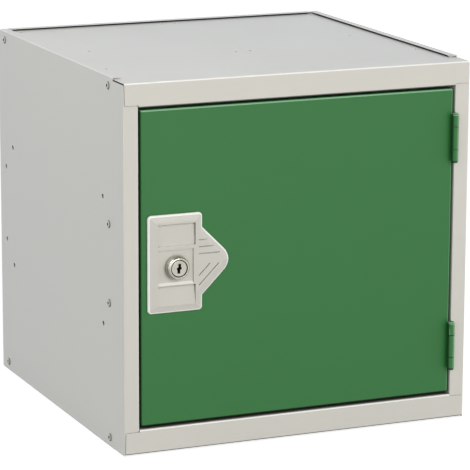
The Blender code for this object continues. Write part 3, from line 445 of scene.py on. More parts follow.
def form(obj, outward, thickness, radius):
    """Rounds the folds and gives the sheet its thickness, with its largest face outward."""
    with editing(obj):
        bpy.ops.mesh.dissolve_limited(angle_limit=math.radians(1))
        face_outward()
    largest = max(obj.data.polygons, key=lambda polygon: polygon.area)
    if largest.normal.dot(Vector(outward)) < 0:
        with editing(obj):
            bpy.ops.mesh.flip_normals()
    modify(obj, "BEVEL", width=radius, segments=6, limit_method="ANGLE",
           angle_limit=math.radians(30))
    modify(obj, "SOLIDIFY", thickness=thickness, offset=-1, use_even_offset=True)


def soften(obj, width, segments=2, angle=38, crisp=180):
    """Breaks the sharp edges, and shades the piece so that its flat faces stay flat."""
    modify(obj, "BEVEL", width=width, segments=segments, limit_method="ANGLE",
           angle_limit=math.radians(angle), use_clamp_overlap=True, miter_outer="MITER_ARC")
    smooth(obj, crisp)
    modify(obj, "WEIGHTED_NORMAL", mode="FACE_AREA", weight=50, keep_sharp=True)


# Turned pieces


def wire(name, points):
    """A line of edges from each point to the next."""
    deselect()
    bpy.ops.mesh.primitive_plane_add(size=MM, location=points[0])
    obj = settle(bpy.context.object, name)
    with editing(obj):
        bpy.ops.mesh.merge(type="CENTER")
        select_all()
        for before, after in zip(points, points[1:]):
            pull(bpy.ops.mesh.extrude_vertices_move, after - before)
    return obj


def turned(name, place, axis, profile, steps=64, ring=False):
    """Spins a profile of (radius, height) points about an axis through a place."""
    place, axis = Vector(place), Vector(axis)
    spoke = RIGHT if abs(axis.z) > 0.5 else UP
    points = [place + spoke * radius + axis * height for radius, height in profile]
    if ring:
        points.append(points[0])
    obj = wire(name, points)
    with editing(obj):
        bpy.ops.mesh.spin(steps=steps, angle=math.tau, center=place, axis=axis)
        select_all()
        bpy.ops.mesh.remove_doubles(threshold=NEAR / 2)
        face_outward()
    return obj


def arc(centre, radii, start, end, count=8):
    """Points on an ellipse's arc, from one angle to another, in degrees."""
    angles = [math.radians(start + (end - start) * i / count) for i in range(count + 1)]
    return [(centre[0] + radii[0] * math.cos(angle), centre[1] + radii[1] * math.sin(angle))
            for angle in angles]


def smooth(obj, angle=32):
    activate(obj)
    bpy.ops.object.shade_smooth_by_angle(angle=math.radians(angle))


# Materials


class Signal:
    """A node's output, which adds, multiplies and divides as a number does."""

    def __init__(self, finish, socket):
        self.finish, self.socket = finish, socket

    def maths(self, operation, *terms):
        return self.finish.node("ShaderNodeMath", 0, terms, operation=operation)

    def __add__(self, other):
        return self.maths("ADD", self, other)

    def __sub__(self, other):
        return self.maths("SUBTRACT", self, other)

    def __rsub__(self, other):
        return self.maths("SUBTRACT", other, self)

    def __mul__(self, other):
        return self.maths("MULTIPLY", self, other)

    def __truediv__(self, other):
        return self.maths("DIVIDE", self, other)

    def __rtruediv__(self, other):
        return self.maths("DIVIDE", other, self)

    __radd__ = __add__
    __rmul__ = __mul__

    def between(self, low, high):
        """0 below one value, 1 above the other, and eased in between."""
        return self.finish.node("ShaderNodeMapRange", 0, (self, low, high),
                                interpolation_type="SMOOTHSTEP")


class Finish:
    """One procedural material, and the nodes it is made of."""

    def __init__(self, name):
        self.material = bpy.data.materials.new(name)
        self.material.use_nodes = True
        self.nodes = self.material.node_tree.nodes
        self.links = self.material.node_tree.links
        self.shader = self.nodes["Principled BSDF"]
        self.place = self.node("ShaderNodeTexCoord", "Object")

    def node(self, kind, output=0, inputs=(), **settings):
        made = self.nodes.new(kind)
        for key, value in settings.items():
            setattr(made, key, value)
        for key, value in inputs.items() if isinstance(inputs, dict) else enumerate(inputs):
            self.feed(made.inputs[key], value)
        return Signal(self, made.outputs[output])

    def feed(self, socket, value):
        if isinstance(value, Signal):
            self.links.new(value.socket, socket)
        else:
            socket.default_value = value

    def set(self, **values):
        """Feeds the shader's sockets, named in plain letters."""
        for key, value in values.items():
            self.feed(self.shader.inputs[key.replace("_", " ").title()], value)

    def noise(self, size, detail=2.0, roughness=0.5, place=None):
        """Cloudy noise with lumps of about a given size."""
        inputs = {"Vector": place or self.place, "Scale": 1 / size, "Detail": detail,
                  "Roughness": roughness}
        return self.node("ShaderNodeTexNoise", "Fac", inputs)

    def spots(self, size):
        """Distance to the nearest of many scattered points."""
        inputs = {"Vector": self.place, "Scale": 1 / size}
        return self.node("ShaderNodeTexVoronoi", "Distance", inputs)

    def mapped(self, place, scale=(1, 1, 1), turn=(0, 0, 0)):
        """The piece's coordinates, centred on a place, turned and stretched."""
        inputs = {"Vector": self.place, "Location": place, "Rotation": turn, "Scale": scale}
        return self.node("ShaderNodeMapping", 0, inputs, vector_type="TEXTURE")

    def along(self, axis, place=None):
        """One coordinate of a place or a direction."""
        return self.node("ShaderNodeSeparateXYZ", axis, (place or self.place,))

    def from_lock(self):
        """The piece's coordinates centred on the lock's axis, and the distance from that axis."""
        centred = self.mapped(LOCK_CENTRE, scale=(1, 1000, 1))
        radius = self.node("ShaderNodeVectorMath", "Value", (centred,), operation="LENGTH")
        return centred, radius

    def edges(self, radius):
        """1 along sharp edges and 0 on flat faces."""
        rounded = self.node("ShaderNodeBevel", 0, {"Radius": radius}, samples=6)
        flat = self.node("ShaderNodeNewGeometry", "Normal")
        match = self.node("ShaderNodeVectorMath", "Value", (rounded, flat),
                          operation="DOT_PRODUCT")
        return (1 - match).between(0.02, 0.2)

    def facing(self, axis):
        """How far the surface faces along one of the piece's own axes, from -1 to 1."""
        normal = self.node("ShaderNodeNewGeometry", "Normal")
        own = self.node("ShaderNodeVectorTransform", 0, (normal,), vector_type="NORMAL",
                        convert_from="WORLD", convert_to="OBJECT")
        return self.along(axis, own)

    def crevices(self, reach, least=0.38, most=0.85):
        """1 in narrow gaps and tight corners and 0 on open faces, from ambient occlusion; it marks
        where shade is painted.
        """
        clear = self.node("ShaderNodeAmbientOcclusion", "AO", {"Distance": reach}, samples=8)
        return (1 - clear).between(least, most)

    def blend(self, share, first, second, blend_type="MIX"):
        return self.node("ShaderNodeMix", 2, {0: share, 6: first, 7: second}, data_type="RGBA",
                         blend_type=blend_type)

    def shaded(self, colour, shade):
        """A colour made lighter or darker."""
        return self.node("ShaderNodeVectorMath", 0, {0: colour, "Scale": shade}, operation="SCALE")

    def bump(self, height):
        """Normals for a surface whose height is given in metres."""
        return self.node("ShaderNodeBump", 0, {"Height": height, "Strength": 1.0, "Distance": 1.0})


def with_alpha(colour):
    return (*colour, 1.0)


# How each kind of powder coat looks. Depth, reach, least and most say how much shade
# is painted into its gaps and corners, under how soon shade is painted on a face that
# looks down. The worn colour serves both rubbed edges and the painted highlight on bends;
# the last three say how strong that painted highlight is on bends that face up and on
# bends that face right, and how much shade is painted on faces that turn sideways.
Coat = namedtuple("Coat", "slot worn roughness gloss depth reach least most under crest "
                          "side_shine side_dark")
SHEET_COAT = Coat(slot="grey_paint", worn=(0.93, 0.92, 0.89), roughness=0.32, gloss=0.5,
                  depth=0.85, reach=4 * MM, least=0.32, most=0.66, under=0.28, crest=0.9,
                  side_shine=1.0, side_dark=0.0)
DOOR_COAT = Coat(slot="green_paint", worn=(0.24, 0.50, 0.29), roughness=0.44, gloss=0.42,
                 depth=0.85, reach=2 * MM, least=0.5, most=0.85, under=0.28, crest=0.9,
                 side_shine=0.4, side_dark=0.55)
COATS = {
    "grey_paint": SHEET_COAT,
    "rivet_paint": SHEET_COAT._replace(depth=0.9, reach=3.5 * MM, least=0.38, most=0.85,
                                       under=0.5, crest=0, side_shine=0.0),
    "green_paint": DOOR_COAT,
    "pin_paint": DOOR_COAT._replace(depth=0.97, least=0.2, most=0.45, side_dark=0.0),
}


def powder_coat(name, colour, kind):
    """Satin powder coat: fine orange peel, slow waves in the sheet, scuffs and rubbed edges, with
    a painted highlight on bends and painted shade in gaps, corners, under faces that look down and
    on faces that turn sideways.
    """
    look = COATS[kind]
    worn, depth, reach = with_alpha(look.worn), look.depth, look.reach
    finish = Finish(name)
    cloud = finish.noise(110 * MM, detail=3)
    mottle = finish.noise(11 * MM, detail=3)
    peel = finish.noise(1.1 * MM, detail=1)
    grain = finish.noise(0.35 * MM, detail=1)
    waves = finish.noise(75 * MM, detail=1)
    scratch_place = finish.mapped((0.03, 0, 0.02), scale=(1, 1, 0.06), turn=(0.5, 0.35, 0.2))
    scratch = finish.noise(1.6 * MM, detail=2, place=scratch_place).between(0.71, 0.78)
    scuff = scratch * finish.noise(42 * MM, detail=2).between(0.56, 0.72)
    rubbed = finish.edges(0.5 * MM) * finish.noise(6 * MM, detail=3).between(0.38, 0.68)
    shade = 0.965 + 0.04 * cloud + 0.02 * mottle + 0.012 * grain
    coat = finish.shaded(colour, shade)
    coat = finish.blend(0.4 * rubbed, coat, worn)
    coat = finish.blend(0.08 * scuff, coat, worn)
    up = finish.facing("Z")
    right = finish.facing("X")
    # Painted highlight: bends that face up, and for some coats bends that face right, are
    # lightened towards the worn colour.
    crest = up.between(0.1, 0.35) * up.between(0.99, 0.94) \
        + look.side_shine * right.between(0.03, 0.15) * right.between(0.99, 0.94)
    # Painted shade on faces that look down.
    under = (0 - up).between(0.1, look.under)
    coat = finish.blend(crest * look.crest, coat, worn)
    # Painted shade on faces that turn sideways, strongest on the door.
    sides = (right * right).between(0.5, 0.95)
    if kind == "grey_paint":
        # Painted shade: more on the sill's upward face under the door, less on the jamb beside the
        # hinges.
        x, z = finish.along("X"), finish.along("Z")
        shaded_sill = up.between(0.5, 0.9) * z.between(19 * MM, 22 * MM) * z.between(30 * MM, 28 * MM)
        jamb = (0 - right).between(0.5, 0.9) * x.between(170 * MM, 172 * MM) \
            * x.between(180 * MM, 178 * MM)
        reach = reach + 4 * MM * shaded_sill
        depth = depth - 0.5 * jamb
    # Painted shade from ambient occlusion in gaps and corners, times the painted shade below and
    # on the sides.
    painted_shade = (1 - depth * finish.crevices(reach, look.least, look.most)) * (1 - 0.75 * under) \
        * (1 - look.side_dark * sides)
    # Painted shade on the rivet heads' sloping flanks.
    if kind == "rivet_paint":
        painted_shade = painted_shade * (0.4 + 0.6 * sides)
    uneven = 0.1 * (cloud - 0.5) + 0.07 * (mottle - 0.5) + 0.12 * scuff + 0.1 * rubbed
    finish.shader.inputs["Specular IOR Level"].default_value = look.gloss
    finish.set(base_color=finish.shaded(coat, painted_shade), roughness=look.roughness + uneven)
    height = 0.012 * MM * peel + 0.003 * MM * grain + 0.25 * MM * waves - 0.002 * MM * scuff
    finish.set(normal=finish.bump(height))
    return finish.material


def moulded_plastic(name, colour):
    """Pale moulded plastic with a fine spark-eroded grain, a little yellowed and handled, with a
    painted highlight on its rounded edges and painted shade on its rim, recess walls and hollows.
    """
    finish = Finish(name)
    grain = finish.noise(0.4 * MM, detail=2, roughness=0.6)
    pits = finish.spots(0.7 * MM)
    cloud = finish.noise(24 * MM, detail=3)
    handled = finish.noise(9 * MM, detail=4).between(0.5, 0.75)
    yellowed, bright = (0.50, 0.47, 0.40, 1.0), (0.94, 0.95, 0.92, 1.0)
    front = 0 - finish.facing("Y")
    x, z = finish.along("X") - PLATE_LOW.x, finish.along("Z") - PLATE_LOW.z
    tall = PLATE_HIGH.z - PLATE_LOW.z
    inner = x.between(9.5 * MM, 10 * MM) * x.between(52 * MM, 51 * MM) \
        * z.between(5.5 * MM, 6.5 * MM) * z.between(tall - 5.5 * MM, tall - 6.5 * MM)
    # Painted highlight on the plate's rounded front edges, weaker inside the rim.
    shine = front.between(0.985, 0.93) * front.between(0.02, 0.15) * (1 - 0.65 * inner)
    # Painted shade on the sloping rim and on the fields' walls that face left, less beside the
    # lock's field.
    slope = front.between(0.995, 0.985) * front.between(0.93, 0.96)
    beside_lock = z.between(29 * MM, 30 * MM) * z.between(65.5 * MM, 64.5 * MM)
    wall = inner * (0 - finish.facing("X")).between(0.5, 0.9) * (1 - 0.9 * beside_lock)
    shade = (0.95 + 0.06 * cloud + 0.03 * grain - 0.07 * slope) * (1 - 0.5 * wall)
    coat = finish.shaded(colour, shade)
    coat = finish.blend(0.08 * handled, coat, yellowed)
    coat = finish.blend(shine, coat, bright)
    _, radius = finish.from_lock()
    # Painted shade from ambient occlusion in the recesses and grooves, weaker in a ring round the
    # bezel.
    shadow = 0.8 - 0.65 * radius.between(17 * MM, 15.5 * MM) * radius.between(12.2 * MM, 12.9 * MM)
    finish.set(
        base_color=finish.shaded(coat, 1 - shadow * finish.crevices(2.6 * MM, 0.3, 0.6)),
        roughness=0.36 + 0.14 * (grain - 0.5) + 0.08 * handled - 0.08 * shine,
        normal=finish.bump(0.012 * MM * grain + 0.006 * MM * pits),
    )
    return finish.material


def nickel_plate(name, colour):
    """Warm nickel plating over a turned part: faint rings, haze and key scratches, with painted
    reflections on the bezel's flank and painted shade in the gap round the plug.
    """
    finish = Finish(name)
    dirt, polish = (0.30, 0.28, 0.23, 1.0), (0.80, 0.79, 0.74, 1.0)
    glare, gap_shade = (1.0, 0.98, 0.92, 1.0), (0.012, 0.012, 0.012, 1.0)
    centred, radius = finish.from_lock()
    turning = {"W": radius, "Scale": 1 / (0.35 * MM), "Detail": 2.0}
    rings = finish.node("ShaderNodeTexNoise", "Fac", turning, noise_dimensions="1D")
    haze = finish.noise(3.5 * MM, detail=4)
    grime = finish.noise(1.4 * MM, detail=3).between(0.52, 0.72)
    shine = finish.edges(0.3 * MM)
    flank = radius.between(9.45 * MM, 10.4 * MM) * radius.between(12.6 * MM, 11.4 * MM)
    # Painted reflections: a highlight on the upper left of the bezel's flank and shade on its
    # lower left.
    across, rise = finish.along("X", centred) / radius, finish.along("Z", centred) / radius
    left = (0 - across).between(0.3, 0.6)
    glint = flank * left * rise.between(0.25, 0.5) * rise.between(0.97, 0.85)
    gloom = flank * left * rise.between(0.2, -0.1)
    # Painted shade: the gap round the plug's front is painted black and not metallic.
    depth = finish.along("Y") - PLUG_LOW.y
    inside = depth.between(0.2 * MM, 0.5 * MM) * depth.between(14 * MM, 13 * MM) \
        * radius.between(8.97 * MM, 8.93 * MM)
    # The whole flank is also made lighter, a painted reflection.
    coat = finish.shaded(colour, 0.92 + 0.14 * haze + 0.06 * rings + 0.2 * flank - 0.5 * gloom)
    coat = finish.blend(0.35 * grime, coat, dirt)
    coat = finish.blend(0.4 * shine, coat, polish)
    coat = finish.blend(0.9 * glint, coat, glare)
    coat = finish.blend(inside, coat, gap_shade)
    finish.set(
        base_color=coat,
        metallic=1 - inside,
        roughness=0.13 + 0.12 * haze + 0.1 * grime + 0.06 * rings + 0.5 * inside,
        normal=finish.bump(0.004 * MM * rings + 0.01 * MM * haze),
    )
    return finish.material


def zinc_plate(name, colour):
    """Dull bright-zinc plating with clouded patches and a rolled grain."""
    finish = Finish(name)
    dull, bright = (0.40, 0.38, 0.33, 1.0), (0.78, 0.79, 0.80, 1.0)
    patches = finish.noise(6 * MM, detail=4)
    grain_place = finish.mapped((0, 0, 0), scale=(1, 1, 12))
    grain = finish.noise(0.5 * MM, detail=2, place=grain_place)
    tarnish = finish.noise(14 * MM, detail=4).between(0.52, 0.74)
    shine = finish.edges(0.35 * MM)
    coat = finish.shaded(colour, 0.88 + 0.16 * patches + 0.08 * grain)
    coat = finish.blend(0.3 * tarnish, coat, dull)
    coat = finish.blend(0.5 * shine, coat, bright)
    finish.shader.inputs["Metallic"].default_value = 1.0
    finish.set(
        base_color=coat,
        roughness=0.34 + 0.14 * patches + 0.12 * tarnish,
        normal=finish.bump(0.006 * MM * grain + 0.01 * MM * patches),
    )
    return finish.material


def soft_rubber(name, colour):
    """Matt black rubber with a dusty bloom."""
    finish = Finish(name)
    dust = (0.10, 0.10, 0.095, 1.0)
    bloom = finish.noise(1.8 * MM, detail=4)
    grain = finish.noise(0.3 * MM, detail=2)
    finish.set(
        base_color=finish.blend(0.3 * bloom, with_alpha(colour), dust),
        roughness=0.68 + 0.15 * bloom,
        normal=finish.bump(0.01 * MM * grain),
    )
    return finish.material


def kind_of(node):
    """The kind of finish on a piece: that of its slot, but rivets and pins have their own."""
    for word in ("rivet", "pin"):
        if word in node.split("_"):
            return word + "_paint"
    return SLOT_OF[node]


def material_for(kind):
    """One kind of finish, made the first time that it is asked for."""
    name = "locker_" + kind
    if name in bpy.data.materials:
        return bpy.data.materials[name]
    colours = bpy.context.scene.cube_locker.colours
    if kind in COATS:
        return powder_coat(name, getattr(colours, COATS[kind].slot)[:], kind)
    maker = {
        "grey_plastic": moulded_plastic,
        "chrome": nickel_plate,
        "zinc_steel": zinc_plate,
        "black_rubber": soft_rubber,
    }[kind]
    return maker(name, getattr(colours, kind)[:])


def dress(obj, node):
    """Gives a piece its finish, and lets it stand for the frame's node on that node's body."""
    obj.data.materials.clear()
    obj.data.materials.append(material_for(kind_of(node)))
    for polygon in obj.data.polygons:
        polygon.material_index = 0
    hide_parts(node)
    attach(obj, BODY_OF[node])
    return obj


# Places that several pieces share


def on_lock(y):
    """The point of the lock's axis at one depth."""
    return Vector((LOCK_CENTRE.x, y, LOCK_CENTRE.z))


def centre_of(node):
    low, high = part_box(node)
    return (low + high) / 2


def stop_y(carcass):
    """The front of the stop that the door meets."""
    return DOOR_HIGH.y + carcass.stop_gap


def wall_spots(names, x):
    return [Vector((x, centre_of(name).y, centre_of(name).z)) for name in names]


def corner_spots(x):
    corners = ("front_bottom", "front_top", "rear_bottom", "rear_top")
    return wall_spots(["left_rivet_" + corner for corner in corners], x)


def keep_spots(x):
    return wall_spots(("lock_keep_rivet_lower", "lock_keep_rivet_upper"), x)


def rear_middle_spots(x):
    rear = centre_of("left_rivet_rear_top").y
    return [Vector((x, rear, spot.z)) for spot in keep_spots(x)]


def nest_spots(carcass, x):
    """Where neighbouring lockers are bolted together."""
    front = centre_of("left_rivet_front_top").y + carcass.nest_front
    rear = centre_of("left_rivet_rear_top").y - carcass.nest_rear
    half = carcass.nest_spacing / 2
    return [Vector((x, y, z)) for y in (front, rear) for z in (MIDDLE_Z - half, MIDDLE_Z + half)]


def level_spots(z):
    """The small holes in the top and floor sheets, in pairs to the left and right."""
    front, rear = TOP_LOW.y, BACK_HIGH.y - 23 * MM
    middle_x, inner_x, outer_x = 8.25 * MM, -SIDE_LOW.x - 40 * MM, -SIDE_LOW.x - 17 * MM
    pairs = (
        (middle_x, front + 148 * MM),
        (middle_x, rear),
        (inner_x, front + 205 * MM),
        (outer_x, front + 92 * MM),
        (outer_x, rear),
    )
    return [Vector((side * x, y, z)) for x, y in pairs for side in (-1, 1)]


# Carcass


def model_side_panel(carcass):
    """One sheet with its wall, upright, jamb, stop lip and two flanges."""
    wall, front, lip = SIDE_LOW.x, SIDE_LOW.y, SIDE_HIGH.x
    opening = wall + carcass.upright
    start = TOP_LOW.y + carcass.flange_start
    end = TOP_HIGH.y - carcass.relief
    bottom, top = carcass.corner_lift, SIDE_HIGH.z - carcass.corner_drop
    foot = SIDE_HIGH.z - TOP_HIGH.z + carcass.foot_lift
    stop = stop_y(carcass)
    obj = flat_sheet("side_sheet", SIDE_LOW, (wall, SIDE_HIGH.y, SIDE_HIGH.z))
    with editing(obj):
        mark(1, start, end)
        mark(2, bottom, top)
        cut_away(lambda p: not bottom < p.z < top and not start < p.y < end)
        for edge_z in (0, SIDE_HIGH.z):
            fold(lambda p: near(p.z, edge_z), (carcass.side_flange, 0, 0))
        fold(lambda p: near(p.y, front), (carcass.upright, 0, 0))
        fold(lambda p: near(p.x, opening) and near(p.y, front), (0, stop - front, 0))
        fold(lambda p: near(p.x, opening) and near(p.y, stop), (lip - opening, 0, 0))
        mark(2, foot)
        cut_away(lambda p: p.z < foot and p.x > wall + NEAR and p.y < stop + NEAR)
    form(obj, -RIGHT, carcass.sheet, carcass.bend)
    with editing(obj):
        mark(1, start + carcass.ramp)
        for edge_z, inward in ((0, 1), (SIDE_HIGH.z, -1)):
            select("VERT", lambda vert: near(vert.co.x, wall + carcass.side_flange)
                   and near(vert.co.z, edge_z + inward * carcass.sheet))
            bpy.ops.transform.translate(value=(-carcass.shear, 0, 0))
            inner_z = edge_z + inward * carcass.sheet
            for level, drop in ((edge_z, carcass.ramp_drop), (inner_z, carcass.end_drop)):
                select("VERT", lambda vert: near(vert.co.y, start) and near(vert.co.z, level)
                       and vert.co.x > wall + carcass.ramp_inset)
                bpy.ops.transform.translate(value=(0, 0, inward * drop))
    rivets = corner_spots(wall) + keep_spots(wall)
    bolts = rear_middle_spots(wall) + nest_spots(carcass, wall)
    return punch(obj, rivets + bolts, RIGHT, carcass.hole)


def model_level_panel(carcass):
    """The top sheet with its rail, the rail's return and lip, and three flanges."""
    low, high = TOP_LOW, TOP_HIGH
    opening_x = -SIDE_LOW.x - carcass.upright - carcass.fit
    lip_x = -SIDE_HIGH.x - carcass.fit
    opening_z = SIDE_HIGH.z - carcass.rail
    slot_y = low.y + carcass.flange_start + carcass.fit
    side_y = low.y + carcass.flange_start + carcass.panel_lag
    rear_y = high.y - carcass.relief
    slot_x = high.x - carcass.relief
    relief_z = opening_z + carcass.relief
    stop = stop_y(carcass)
    obj = flat_sheet("top_sheet", (low.x, low.y, high.z), high)
    with editing(obj):
        mark(0, -slot_x, slot_x)
        mark(1, slot_y, side_y, rear_y)
        cut_away(lambda p: abs(p.x) > slot_x and (slot_y < p.y < side_y or p.y > rear_y))
        fold(lambda p: near(abs(p.x), high.x) and p.y > side_y, (0, 0, -carcass.panel_flange))
        fold(lambda p: near(p.y, high.y), (0, 0, -carcass.panel_flange))
        fold(lambda p: near(p.y, low.y), (0, 0, opening_z - high.z))
        select("VERT", lambda vert: near(vert.co.y, low.y) and near(vert.co.z, opening_z))
        bpy.ops.transform.resize(value=(1 - carcass.rail_gap / high.x, 1, 1),
                                 center_override=(0, low.y, opening_z))
        mark(0, -opening_x, opening_x)
        mark(2, relief_z)
        cut_away(lambda p: near(p.y, low.y) and abs(p.x) > opening_x and p.z < relief_z)
        fold(lambda p: near(p.y, low.y) and near(p.z, opening_z), (0, stop - low.y, 0))
        mark(0, -lip_x, lip_x)
        mark(1, stop - carcass.relief)
        cut_away(lambda p: near(p.z, opening_z) and abs(p.x) > lip_x
                 and p.y > stop - carcass.relief)
        fold(lambda p: near(p.z, opening_z) and near(p.y, stop), (0, 0, low.z - opening_z))
    form(obj, UP, carcass.sheet, carcass.bend)
    corners = [spot for x in (low.x, high.x) for spot in corner_spots(x) if spot.z > MIDDLE_Z]
    punch(obj, corners, RIGHT, carcass.hole)
    return punch(obj, level_spots(high.z), UP, carcass.hole)


def model_back_panel(carcass):
    """The back sheet, with flanges forward on its four sides."""
    low, high = BACK_LOW, BACK_HIGH
    relief = carcass.relief
    flange_x = -SIDE_LOW.x - carcass.side_flange - carcass.back_gap
    flange_z = TOP_HIGH.z - carcass.panel_flange - relief - MIDDLE_Z
    obj = flat_sheet("back_sheet", (low.x, high.y, low.z), high)
    with editing(obj):
        mark(0, -flange_x, flange_x, low.x + relief, high.x - relief)
        mark(2, relief, high.z - relief, MIDDLE_Z - flange_z - relief, MIDDLE_Z - flange_z,
             MIDDLE_Z + flange_z, MIDDLE_Z + flange_z + relief)
        cut_away(lambda p: abs(p.x) > flange_x and abs(p.z - MIDDLE_Z) > MIDDLE_Z - relief)
        cut_away(lambda p: abs(p.x) > high.x - relief
                 and 0 < abs(p.z - MIDDLE_Z) - flange_z < relief)
        for edge_z in (0, high.z):
            fold(lambda p: near(p.z, edge_z), (0, -carcass.back_flange, 0))
        fold(lambda p: near(abs(p.x), high.x) and abs(p.z - MIDDLE_Z) < flange_z,
             (0, -carcass.back_side_flange, 0))
    form(obj, BACK, carcass.sheet, carcass.bend)
    with editing(obj):
        for edge_z in (carcass.sheet, high.z - carcass.sheet):
            select("VERT", lambda vert: near(vert.co.y, high.y - carcass.back_flange)
                   and near(vert.co.z, edge_z))
            bpy.ops.transform.translate(value=(0, carcass.shear, 0))
    spots = [spot for x in (low.x, high.x) for spot in rear_middle_spots(x)]
    return punch(obj, spots, RIGHT, carcass.hole)


def model_rivet(carcass, place, grip):
    """A blind rivet: a domed head with its mandrel's dimple, a shank and a bulb behind."""
    head, shank, bulb = carcass.rivet_head / 2, carcass.rivet_shank / 2, carcass.rivet_bulb / 2
    height, hole = carcass.rivet_height, carcass.mandrel / 2
    floor, end = height - carcass.mandrel_depth, -grip - carcass.bulb_length
    rim, slope, gap = 0.3 * MM, 0.8 * MM, 0.01 * MM
    profile = [(0, floor), (hole - rim, floor), (hole, height - rim)]
    profile += arc((0, rim), (head, height - rim), 60, 0, 10)
    profile += [
        (head - 0.05 * MM, 0.2 * MM),
        (head - 0.35 * MM, gap),
        (shank, gap),
        (shank, -grip),
        (bulb, -grip - slope),
        (bulb, end + slope),
        (shank, end),
        (0, end),
    ]
    return turned("rivet", place, -RIGHT, profile, steps=40)


def model_keep(carcass):
    """An angle behind the upright, which takes the cam's push."""
    low, high = KEEP_LOW, KEEP_HIGH
    obj = flat_sheet("lock_keep_angle", low, (low.x, high.y, high.z))
    with editing(obj):
        fold(lambda p: near(p.y, low.y), (high.x - low.x, 0, 0))
        for corner_y, corner_x in ((high.y, low.x), (low.y, high.x)):
            select("VERT", lambda vert: near(vert.co.x, corner_x) and near(vert.co.y, corner_y))
            bpy.ops.mesh.bevel(affect="VERTICES", offset=carcass.keep_corner, segments=6)
    form(obj, -RIGHT, carcass.keep_sheet, carcass.keep_bend)
    punch(obj, keep_spots(low.x), RIGHT, carcass.hole)
    soften(obj, carcass.edge)
    return obj


def model_buffer(node):
    """A rubber buffer with a domed head, pressed through the stop lip."""
    low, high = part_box(node)
    centre = (low + high) / 2
    head, long = (high.x - low.x) / 2, high.y - low.y
    dome, neck, barb, barb_start, tip = 0.7 * MM, 1.8 * MM, 2.7 * MM, 3 * MM, 1.6 * MM
    profile = [(0, long)] + arc((head - dome, long - dome), (dome, dome), 90, 0, 5)
    profile += [
        (head, long - 1.3 * MM),
        (neck, long - 1.4 * MM),
        (neck, barb_start),
        (barb, barb_start),
        (tip, 0.4 * MM),
        (0, 0),
    ]
    place = (centre.x, high.y, centre.z)
    obj = turned(node + "_rubber", place, -BACK, profile, steps=32)
    smooth(obj, 40)
    return obj


# Door and hinges


def model_door(door):
    """A boxed door: its face, four returns and a lip round the back."""
    low = DOOR_LOW - Vector((0, 0, door.sill_edge))
    high = DOOR_HIGH + Vector((door.hinge_edge, 0, 0))
    obj = flat_sheet("door_sheet", low, (high.x, low.y, high.z))
    depth = high.y - low.y
    middle_x = (low.x + high.x) / 2
    middle_z = (low.z + high.z) / 2
    with editing(obj):
        fold(lambda p: True, (0, depth, 0))
        select("EDGE", lambda edge: edge.is_boundary)
        pull(bpy.ops.mesh.extrude_edges_move, (0, 0, 0))
        shrink = (1 - 2 * door.lip / (high.x - low.x), 1, 1 - 2 * door.lip / (high.z - low.z))
        bpy.ops.transform.resize(value=shrink, center_override=(middle_x, high.y, middle_z))
    form(obj, -BACK, door.sheet, door.bend)
    punch(obj, [on_lock(low.y)], BACK, door.lock_hole, 64)
    soften(obj, door.edge)
    return obj


def model_leaf(door, node):
    """A hinge leaf with its knuckles rolled round the pin."""
    low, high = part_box(node)
    axis = centre_of(node.split("_")[0] + "_hinge_pin")
    tall = high.z - low.z
    side = -1 if "door" in node else 1
    radius, bend = door.knuckle / 2, door.knuckle_end
    profile = [(0, 0)] + arc((radius - bend, bend), (bend, bend), -90, 0, 4)
    profile += arc((radius - bend, tall - bend), (bend, bend), 0, 90, 4) + [(0, tall)]
    obj = turned(node, (axis.x, axis.y, low.z), UP, profile, steps=48)
    ends = sorted((axis.x + side * door.leaf_gap, axis.x + side * (door.leaf_gap + door.leaf)))
    combine(obj, block((ends[0], axis.y, low.z), (ends[1], high.y, high.z)), "UNION")
    combine(obj, rod(axis, UP, door.pin + door.pin_fit, 2 * tall, 48))
    reach = door.knuckle / 2 + door.play
    half = door.inner_knuckle / 2
    spans = [(-half - door.play, half + door.play)]
    if side < 0:
        spans = [(-tall, -half), (half, tall)]
    for start, end in spans:
        gap = block((axis.x - reach, axis.y - reach, axis.z + start),
                    (axis.x + reach, axis.y + reach, axis.z + end))
        combine(obj, gap)
    obj.name = node + "_rolled"
    soften(obj, door.leaf_edge, segments=3)
    return obj


def model_pin(door, node):
    """A hinge pin with a domed head at each end."""
    low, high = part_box(node)
    axis = (low + high) / 2
    end = (high.z - low.z) / 2
    head, shank = door.pin_head / 2, door.pin / 2
    dome, rim = Vector((1.8 * MM, 1 * MM)), end - 1.1 * MM
    top = [(0, end), (1.2 * MM, end - 0.03 * MM)]
    top += arc((head - dome.x, rim), dome, 80, 0, 8)
    top += [(head, rim - 0.05 * MM), (shank, rim - 0.08 * MM)]
    bottom = [(radius, -height) for radius, height in reversed(top)]
    obj = turned(node + "_turned", axis, UP, top + bottom, steps=40)
    smooth(obj, 40)
    return obj


# Lock


def drawn(name, points, depth):
    """Draws a closed outline of points, fills it and pulls it back by a depth."""
    points = [Vector(point) for point in points]
    obj = wire(name, points + points[:1])
    with editing(obj):
        bpy.ops.mesh.remove_doubles(threshold=NEAR / 2)
        select_all()
        bpy.ops.mesh.edge_face_add()
        pull(bpy.ops.mesh.extrude_region_move, (0, depth, 0))
        face_outward()
    return obj


def round_corner(x, z, radius, angle, segments):
    """Rounds one corner of the selected outline; the angle is between its two edges."""
    select("VERT", lambda vert: near(vert.co.x, x) and near(vert.co.z, z))
    bpy.ops.mesh.bevel(affect="VERTICES", offset=radius / math.tan(angle / 2), segments=segments)


